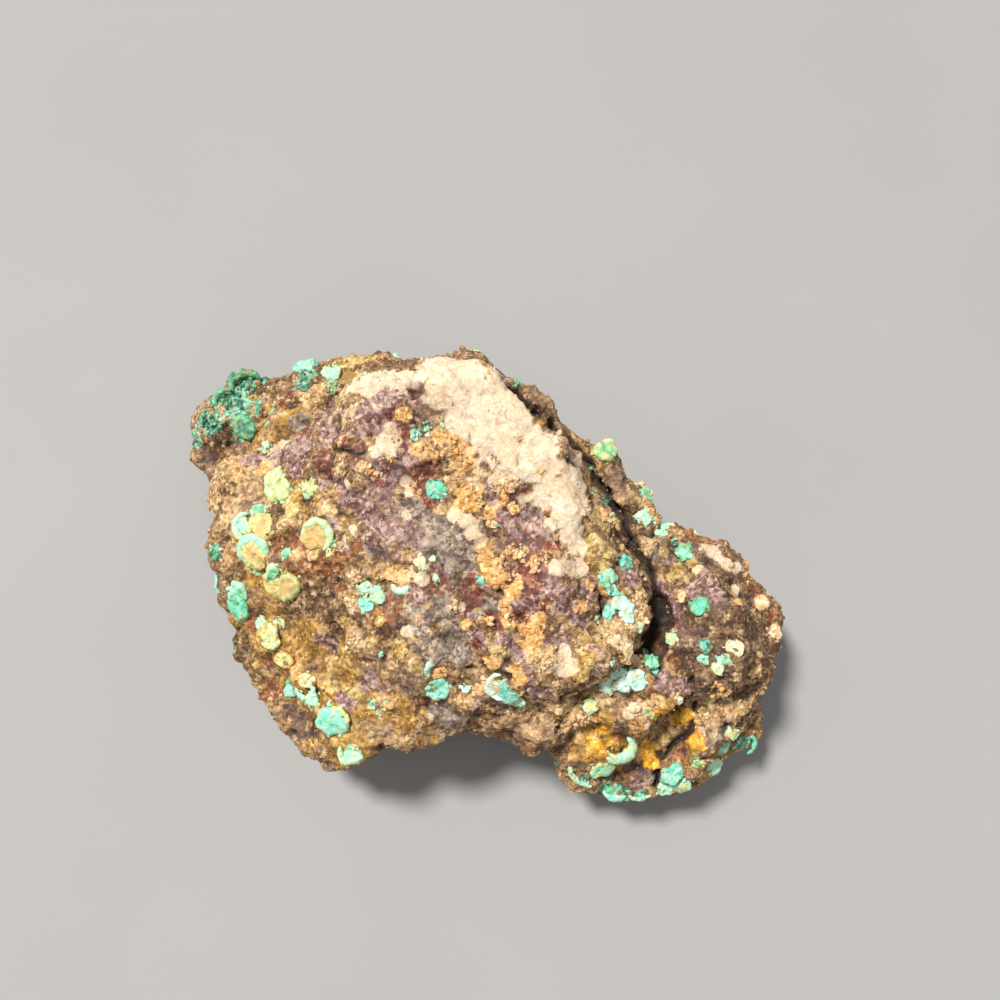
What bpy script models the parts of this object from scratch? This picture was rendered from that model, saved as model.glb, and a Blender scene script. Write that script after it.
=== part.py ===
"""Azurite-malachite specimen: a hand-sized lump of iron-stained gossan with malachite rosettes grown on it.

The stone is one solid. It is described as a field in millimetres, below zero inside the stone and zero on
its skin. The field joins a few broken blocks (a tilted cap on top, a rim, a lobe and a toe at its right,
a lump behind) on a narrower base. A grid wrapped round the stone is drawn onto that skin, raised into
crust and rosettes, and thinned to flat facets.
Frame: +Z up, +X along the stone's longest side, origin at the middle of its box, on the ground.
"""
import math
from collections import namedtuple

import bmesh
import bpy
import numpy as np

MM = 0.001

# The stone as a whole, in millimetres
LENGTH = 86.0
WIDTH = 64.0
HEIGHT = 38.0
HEART = (0.0, -1.0, 13.0)
BOX_MIDDLE = (0.05, 1.05)

# The grid that wraps the stone
GRID_CUTS = 31
WRAP_ROUNDS = 18
FINE_ROUNDS = 5
FACETS = 9000

# How the blocks meet: the radius of their edges, and of the welds between them
EDGE_ROUND = 0.8
WELD_ROUND = 0.5

# Unevenness: (length of a wave, how far it pushes)
WANDER = ((26.0, 0.6), (10.0, 0.4))
CRUST = ((8.5, 0.55), (4.5, 0.32))
WAVES = 24

# Points this close to the ground are flat on it
FOOT_FLAT = 0.15

# A block is an outline seen from above, the planes that cut its top, the height of its underside, and
# the lean of its sides: below brow they draw in by lean for each millimetre of depth.
# A plane is (height above the origin, rise along x, rise along y).
Block = namedtuple("Block", "outline planes under brow lean")

CAP = Block(
    outline=(
        (-33.0, 7.0), (-31.5, 11.0), (-23.5, 12.0), (-18.0, 15.5), (-15.0, 18.5), (-10.5, 20.3),
        (-6.0, 21.3), (-0.5, 21.0), (3.0, 19.0), (6.5, 15.0), (10.5, 11.5), (14.0, 7.5), (16.5, 2.5),
        (19.0, -1.5), (22.0, -5.5), (23.5, -9.5), (22.5, -13.5), (19.0, -16.5), (14.5, -19.0),
        (11.5, -22.0), (11.0, -26.5), (6.0, -25.5), (2.0, -24.5), (-2.0, -24.0), (-5.0, -25.5),
        (-9.5, -25.0), (-13.0, -27.0), (-17.0, -31.0), (-21.0, -28.5), (-26.0, -24.0), (-30.0, -20.0),
        (-33.5, -14.0), (-32.5, -5.0),
    ),
    planes=(
        (34.0, 0.0, 0.28), (38.0, 0.44, 0.28), (38.0, -0.40, 0.28), (52.0, 0.0, 1.30),
        (45.0, 0.70, 0.66), (49.0, 0.0, -0.62),
    ),
    under=9.0, brow=17.0, lean=0.5,
)
RIM = Block(
    outline=(
        (-5.0, 23.5), (0.0, 24.5), (4.0, 23.0), (8.7, 23.0), (11.2, 20.0), (14.0, 16.5), (16.5, 14.0),
        (18.5, 12.5), (19.0, 8.0), (16.0, 3.0), (9.0, 8.0), (2.0, 14.0), (-5.0, 18.0),
    ),
    planes=((33.0, -0.62, 0.0), (60.0, 0.0, -1.20)),
    under=4.0, brow=14.0, lean=0.3,
)
LOBE = Block(
    outline=(
        (13.0, 12.0), (17.0, 12.5), (19.8, 10.2), (21.6, 7.0), (23.0, 3.2), (25.2, 3.4), (29.5, 3.0),
        (34.5, 2.0), (38.5, -1.5), (42.5, -5.0), (44.0, -8.0), (42.0, -13.0), (39.2, -18.0), (37.5, -22.0),
        (34.0, -27.5), (31.0, -29.5), (27.5, -30.5), (20.0, -24.0), (8.0, -10.0),
    ),
    planes=((27.0, -0.26, 0.04), (24.0, 0.0, 0.35), (40.0, -0.55, 0.10)),
    under=3.0, brow=10.0, lean=0.6,
)
TOE = Block(
    outline=(
        (18.0, -15.5), (13.5, -19.0), (12.0, -24.0), (13.5, -28.0), (16.5, -30.5), (20.0, -32.0),
        (24.5, -31.8), (25.5, -27.0), (28.0, -23.5), (28.5, -19.0), (28.0, -13.5), (23.0, -11.0),
    ),
    planes=((39.0, -0.16, 0.62), (47.0, -0.16, 1.05), (34.0, -0.48, 0.0)),
    under=3.5, brow=11.0, lean=0.5,
)
BACK_LUMP = Block(
    outline=(
        (-43.3, 17.5), (-42.3, 22.5), (-38.8, 26.3), (-37.5, 28.8), (-34.8, 30.3), (-31.5, 29.3),
        (-26.0, 30.3), (-22.5, 29.8), (-18.5, 31.8), (-13.5, 31.2), (-8.0, 24.0), (-12.0, 10.0),
        (-25.0, 4.0), (-36.0, 8.0), (-39.0, 12.0),
    ),
    planes=((24.5, 0.34, 0.0), (34.0, 0.30, -0.38)),
    under=2.5, brow=7.0, lean=0.5,
)
BASE = Block(
    outline=(
        (-32.0, 12.0), (-32.0, 3.0), (-30.0, -10.0), (-20.0, -20.5), (-8.0, -19.0), (8.0, -19.5),
        (22.0, -25.0), (34.0, -19.0), (38.0, -8.0), (27.0, 3.0), (15.0, 12.0), (0.0, 20.0),
        (-14.0, 26.0), (-28.0, 22.0),
    ),
    planes=((22.0, 0.0, 0.0),),
    under=-1.2, brow=9.0, lean=0.75,
)
BLOCKS = (CAP, RIM, LOBE, TOE, BACK_LUMP, BASE)

# Knobs that stand out of the blocks: (x, y, z, radius)
KNOBS = (
    (-33.4, 2.5, 7.0, 3.9), (-9.5, -24.5, 8.0, 2.3), (-1.5, -22.5, 8.5, 2.0),
    (16.5, 11.0, 20.0, 2.4), (21.0, 7.2, 17.0, 2.0), (-37.2, 22.5, 8.5, 4.2), (-20.0, 26.5, 13.0, 4.2),
    (-27.0, 25.5, 11.5, 4.0), (35.0, -22.0, 10.0, 3.8), (30.0, -26.5, 9.0, 3.6),
)

# Cracks seen from above: the points they run through, their width and their depth
Crack = namedtuple("Crack", "points width depth")
CRACKS = (
    Crack(((5.0, 18.5), (8.0, 14.5), (11.5, 11.5), (15.0, 7.5), (18.0, 2.0), (21.0, -2.5), (24.0, -7.5),
           (24.0, -13.0), (21.5, -15.5)), 1.1, 3.6),
    Crack(((19.5, -16.5), (15.5, -18.5), (12.5, -20.0), (11.5, -24.0)), 0.8, 2.0),
    Crack(((28.5, -16.0), (28.5, -20.5), (27.0, -23.5), (24.5, -25.5), (24.5, -30.0)), 0.9, 2.6),
    Crack(((-17.5, 10.5), (-13.5, 10.0)), 0.8, 1.6),
    Crack(((23.0, 6.0), (24.6, 2.5), (26.6, -1.5), (27.4, -4.0)), 0.9, 2.6),
)

# Malachite rosettes on the skin, seen from above: (x, y, radius)
ROSETTES = (
    (-23.0, 8.0, 1.9), (-19.0, 7.5, 1.3), (-28.5, 3.5, 1.4), (-26.0, 3.0, 1.5), (-26.5, -0.5, 2.3),
    (-18.5, 1.5, 1.8), (-24.0, -4.0, 1.8), (-32.0, -6.0, 1.8), (-26.5, -12.0, 1.4), (-21.5, -17.5, 1.3),
    (-19.0, -17.5, 1.3), (-17.0, -20.5, 2.0), (-12.5, -5.0, 1.6), (-9.0, -4.0, 1.5), (-5.0, -13.0, 1.4),
    (-4.5, -15.5, 1.5), (3.0, -15.0, 2.1), (-4.0, 8.5, 1.5), (17.0, -16.0, 2.3), (16.5, -7.5, 1.3),
    (28.0, -5.5, 1.3), (33.5, -10.5, 1.6), (17.5, -26.0, 2.0), (13.5, -26.5, 1.5), (30.0, -24.5, 1.8),
    (25.5, -28.0, 1.9), (18.0, 12.5, 1.5), (21.5, 7.0, 1.5), (-30.0, 25.5, 1.9), (-38.0, 24.5, 2.4),
    (-40.0, 19.0, 2.2), (-24.5, 27.5, 1.8),
)
ROSETTE_LIFT = 0.8

GOSSAN_COLOUR = (0.33, 0.19, 0.10, 1.0)
GOSSAN_ROUGHNESS = 0.88


def unevenness(points, length, seed):
    """A sum of sine waves that run in random directions, with lengths about the one given. It averages
    zero and strays about one either way."""
    random = np.random.default_rng(seed)
    runs = random.normal(size=(3, WAVES))
    runs *= 2 * math.pi / (length * random.uniform(0.75, 1.4, WAVES) * np.linalg.norm(runs, axis=0))
    starts = random.uniform(0, 2 * math.pi, WAVES)
    return np.sin(points @ runs + starts).sum(axis=1) * math.sqrt(2 / WAVES)


def outline_distance(points, outline):
    """Distance in plan from each point to a closed outline, negative inside it: the least distance to
    any side, with its sign from how often a line to the right crosses the sides."""
    spot = points[:, :2]
    corners = np.array(outline, float)
    least = np.full(len(points), np.inf)
    inside = np.zeros(len(points), bool)
    for start, end in zip(corners, np.roll(corners, -1, axis=0)):
        side = end - start
        along = np.clip(((spot - start) @ side) / (side @ side), 0, 1)
        least = np.minimum(least, np.sum((spot - start - along[:, None] * side) ** 2, axis=1))
        spans = (start[1] > spot[:, 1]) != (end[1] > spot[:, 1])
        rise = side[1] if side[1] else 1.0
        inside ^= spans & (spot[:, 0] < start[0] + (spot[:, 1] - start[1]) * side[0] / rise)
    return np.where(inside, -1, 1) * np.sqrt(least)


def path_distance(points, path):
    """Distance in plan from each point to an open path: the least distance to any of its legs."""
    spot = points[:, :2]
    corners = np.array(path, float)
    least = np.full(len(points), np.inf)
    for start, end in zip(corners[:-1], corners[1:]):
        leg = end - start
        along = np.clip(((spot - start) @ leg) / (leg @ leg), 0, 1)
        least = np.minimum(least, np.sum((spot - start - along[:, None] * leg) ** 2, axis=1))
    return np.sqrt(least)


def soft_most(values, blend):
    """The greatest of several fields, rounded where two are within about blend of each other."""
    values = np.stack(values)
    top = values.max(axis=0)
    return top + blend * np.log(np.exp((values - top) / blend).sum(axis=0))


def block_field(points, block):
    """Above zero outside the block: the greatest of the distances past its sides, top and underside."""
    height = points[:, 2]
    depth = np.maximum(0, block.brow - height)
    parts = [outline_distance(points, block.outline) + block.lean * depth, block.under - height]
    for level, along_x, along_y in block.planes:
        over = height - (level + along_x * points[:, 0] + along_y * points[:, 1])
        parts.append(over / math.sqrt(1 + along_x**2 + along_y**2))
    return soft_most(parts, EDGE_ROUND)


def wandered(points):
    """The points pushed about unevenly, so that straight outlines and planes come out broken."""
    pushes = [
        sum(reach * unevenness(points, length, 10 * step + axis)
            for step, (length, reach) in enumerate(WANDER))
        for axis in range(3)
    ]
    return points + np.stack(pushes, axis=1)


def stone_field(points):
    """Below zero inside the stone: the blocks and knobs joined, less the cracks."""
    moved = wandered(points)
    parts = [-block_field(moved, block) for block in BLOCKS]
    for x, y, z, radius in KNOBS:
        parts.append(radius - np.linalg.norm(moved - (x, y, z), axis=1))
    field = -soft_most(parts, WELD_ROUND)
    for crack in CRACKS:
        near = path_distance(moved, crack.points) / crack.width
        field = field + crack.depth * np.exp(-near**2)
    return field


def field_slope(points, field):
    """Unit directions in which the field grows, from its change over a short step along each axis."""
    step = 0.3
    slope = np.stack([stone_field(points + step * unit) - field for unit in np.eye(3)], axis=1)
    return slope / np.maximum(np.linalg.norm(slope, axis=1, keepdims=True), 1e-6)


def points_of(mesh):
    """The mesh's points as an array of rows."""
    flat = np.empty(len(mesh.vertices) * 3, np.float32)
    mesh.vertices.foreach_get("co", flat)
    return flat.reshape(-1, 3).astype(float)


def normals_of(mesh):
    """The mesh's point normals as an array of rows."""
    flat = np.empty(len(mesh.vertices) * 3, np.float32)
    mesh.vertex_normals.foreach_get("vector", flat)
    return flat.reshape(-1, 3).astype(float)


def edges_of(mesh):
    """The two ends of each edge, as two arrays."""
    flat = np.empty(len(mesh.edges) * 2, np.int32)
    mesh.edges.foreach_get("vertices", flat)
    return flat[0::2], flat[1::2]


def put_points(mesh, points):
    """Moves the mesh's points to the rows of an array."""
    mesh.vertices.foreach_set("co", points.astype(np.float32).ravel())
    mesh.update()


def wrapped_box():
    """A box whose faces are cut into a grid, blown up to an egg round the stone's heart."""
    mesh = bpy.data.meshes.new("wrap")
    shape = bmesh.new()
    bmesh.ops.create_cube(shape, size=2.0)
    bmesh.ops.subdivide_edges(shape, edges=shape.edges[:], cuts=GRID_CUTS, use_grid_fill=True)
    shape.to_mesh(mesh)
    shape.free()
    way = np.tan(points_of(mesh) * math.pi / 4)
    way /= np.linalg.norm(way, axis=1, keepdims=True)
    put_points(mesh, way * (LENGTH, WIDTH, HEIGHT) + HEART)
    return mesh


def neighbour_mean(points, ends):
    """Each point's neighbours along the edges, averaged."""
    first, second = ends
    count = np.bincount(first, minlength=len(points)) + np.bincount(second, minlength=len(points))
    mean = [
        np.bincount(first, points[second, axis], len(points))
        + np.bincount(second, points[first, axis], len(points))
        for axis in range(3)
    ]
    return np.stack(mean, axis=1) / count[:, None]


def drawn_in(points):
    """Points moved towards the stone's heart, by most of the field's value at a time, onto its skin."""
    way = np.array(HEART) - points
    way /= np.linalg.norm(way, axis=1, keepdims=True)
    for _ in range(40):
        points = points + 0.6 * way * stone_field(points)[:, None]
    return points


def settled(points, ends, rounds):
    """Points spread evenly over the skin: each round slides them towards their neighbours' middle, then
    along the field's slope back to the skin."""
    for _ in range(rounds):
        points = points + 0.7 * (neighbour_mean(points, ends) - points)
        field = stone_field(points)
        points = points - 0.8 * field_slope(points, field) * field[:, None]
    return points


def modified(mesh, kind, **settings):
    """The mesh as one modifier leaves it."""
    holder = bpy.data.objects.new("holder", mesh)
    bpy.context.scene.collection.objects.link(holder)
    modifier = holder.modifiers.new("change", kind)
    for name, value in settings.items():
        setattr(modifier, name, value)
    graph = bpy.context.evaluated_depsgraph_get()
    made = bpy.data.meshes.new_from_object(holder.evaluated_get(graph))
    bpy.data.objects.remove(holder)
    return made


def crust_height(points):
    """How far the crust stands up from the skin: lumps with creases between them, made by folding the
    unevenness where it crosses zero."""
    height = np.zeros(len(points))
    for step, (length, lift) in enumerate(CRUST):
        height += lift * (np.abs(unevenness(points, length, 40 + step)) - 0.8)
    return height


def rosette_height(points, facing):
    """How far the rosettes stand up: low domes, seen from above, where the skin faces up."""
    height = np.zeros(len(points))
    for x, y, radius in ROSETTES:
        far = np.hypot(points[:, 0] - x, points[:, 1] - y) / radius
        height = np.maximum(height, ROSETTE_LIFT * np.clip(1.4 - far**2, 0, 1))
    return height * np.clip(3 * facing, 0, 1)


def stone_mesh():
    """The wrapped grid drawn onto the skin, settled, cut finer, raised into crust, thinned to its facets,
    and set flat on its foot."""
    mesh = wrapped_box()
    put_points(mesh, settled(drawn_in(points_of(mesh)), edges_of(mesh), WRAP_ROUNDS))
    mesh = modified(mesh, "SUBSURF", levels=1, render_levels=1)
    points = settled(points_of(mesh), edges_of(mesh), FINE_ROUNDS)
    put_points(mesh, points)
    normals = normals_of(mesh)
    rise = crust_height(points) + rosette_height(points, normals[:, 2])
    points = points + normals * rise[:, None]
    points[:, 2] = np.maximum(points[:, 2], 0.0)
    put_points(mesh, points)
    mesh = modified(mesh, "DECIMATE", ratio=FACETS / (2 * len(mesh.polygons)))
    points = points_of(mesh)
    points[:, 2] = np.where(points[:, 2] < FOOT_FLAT, 0.0, points[:, 2])
    put_points(mesh, (points - (*BOX_MIDDLE, 0.0)) * MM)
    return mesh


def gossan():
    """Brown, dull iron-stained rock."""
    material = bpy.data.materials.new("gossan")
    material.use_nodes = True
    finish = material.node_tree.nodes["Principled BSDF"]
    finish.inputs["Base Color"].default_value = GOSSAN_COLOUR
    finish.inputs["Roughness"].default_value = GOSSAN_ROUGHNESS
    finish.inputs["Metallic"].default_value = 0.0
    return material


def specimen():
    """The stone as one object."""
    stone = bpy.data.objects.new("specimen", stone_mesh())
    bpy.context.scene.collection.objects.link(stone)
    stone.data.materials.clear()
    stone.data.materials.append(gossan())


for old in list(bpy.data.objects):
    bpy.data.objects.remove(old)
specimen()
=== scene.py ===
"""Looks of the azurite-malachite specimen: the stone's broken skin with its cream, purple, ochre and brown
crusts, the malachite rosettes, rings and beads grown on it, and the crumbs that lie in its hollows.
"""

import math
from collections import namedtuple

import bmesh
import bpy
import numpy as np
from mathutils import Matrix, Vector
from mathutils.bvhtree import BVHTree
from mathutils.kdtree import KDTree


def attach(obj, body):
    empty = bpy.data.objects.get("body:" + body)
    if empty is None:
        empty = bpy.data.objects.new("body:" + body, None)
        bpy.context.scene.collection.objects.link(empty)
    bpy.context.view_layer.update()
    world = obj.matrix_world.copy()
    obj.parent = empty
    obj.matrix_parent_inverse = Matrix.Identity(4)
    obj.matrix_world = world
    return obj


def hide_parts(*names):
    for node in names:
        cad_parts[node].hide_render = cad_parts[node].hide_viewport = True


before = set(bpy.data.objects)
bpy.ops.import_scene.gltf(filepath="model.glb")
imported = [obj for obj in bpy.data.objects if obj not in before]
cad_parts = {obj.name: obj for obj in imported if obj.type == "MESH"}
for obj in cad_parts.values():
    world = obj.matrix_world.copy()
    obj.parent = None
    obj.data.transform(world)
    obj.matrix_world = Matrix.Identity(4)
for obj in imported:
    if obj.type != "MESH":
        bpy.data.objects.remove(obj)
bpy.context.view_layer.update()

# Shapes are worked out in millimetres, and meshes hold metres
MM = 0.001

# The photograph's camera, in millimetres and degrees. The picture is 1000 pixels square.
AIM = np.array((3.75, 1.25, 34.0))
CAMERA_DISTANCE = 120.0
CAMERA_ELEVATION = 72.0
LENS = 36.0
SENSOR = 36.0
PICTURE = 1000

# The nearest and farthest that the camera sees, in metres
CLIP = (0.005, 10.0)

# The skin, in millimetres: the size of its faces, how near two points of the solid are one, and how low
# it is flat. Then the rounds that smooth the solid's facets, how far each draws a point to its
# neighbours, and the rounds that average its surroundings and its normals.
SKIN_FACE = 0.43
MERGE_NEAR = 1e-4
FOOT_FLAT = 0.2
SMOOTH_ROUNDS = 6
SMOOTH_PULL = 0.6
SURROUND_ROUNDS = 12
CALM_ROUNDS = 8

# The floor's half side in metres, and the room's light. A sun is (name, place in metres, strength,
# spread in degrees, colour): a soft key from above left, and a weak fill from the front right.
FLOOR_REACH = 6.0
ROOM_COLOUR = (0.97, 0.97, 0.98, 1.0)
ROOM_STRENGTH = 0.42
SUNS = (
    ("key", (-0.15, 0.09, 0.4), 4.6, 11.0, (1.0, 0.975, 0.94)),
    ("fill", (0.3, -0.35, 0.3), 0.3, 40.0, (1.0, 0.98, 0.96)),
)


def paint(red, green, blue):
    """A colour from 0 to 255 as the eye reads it, turned into the linear values that a shader takes."""
    shares = np.array((red, green, blue)) / 255
    return tuple(np.where(shares > 0.04045, ((shares + 0.055) / 1.055) ** 2.4, shares / 12.92))


# A crust zone: its three tones, how far it lifts off the stone, the height of its lumps, its roughness,
# and its spots as (x, y, radius) in pixels of the photograph.
Zone = namedtuple("Zone", "name dark middle light lift lumps roughness spots")

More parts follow.
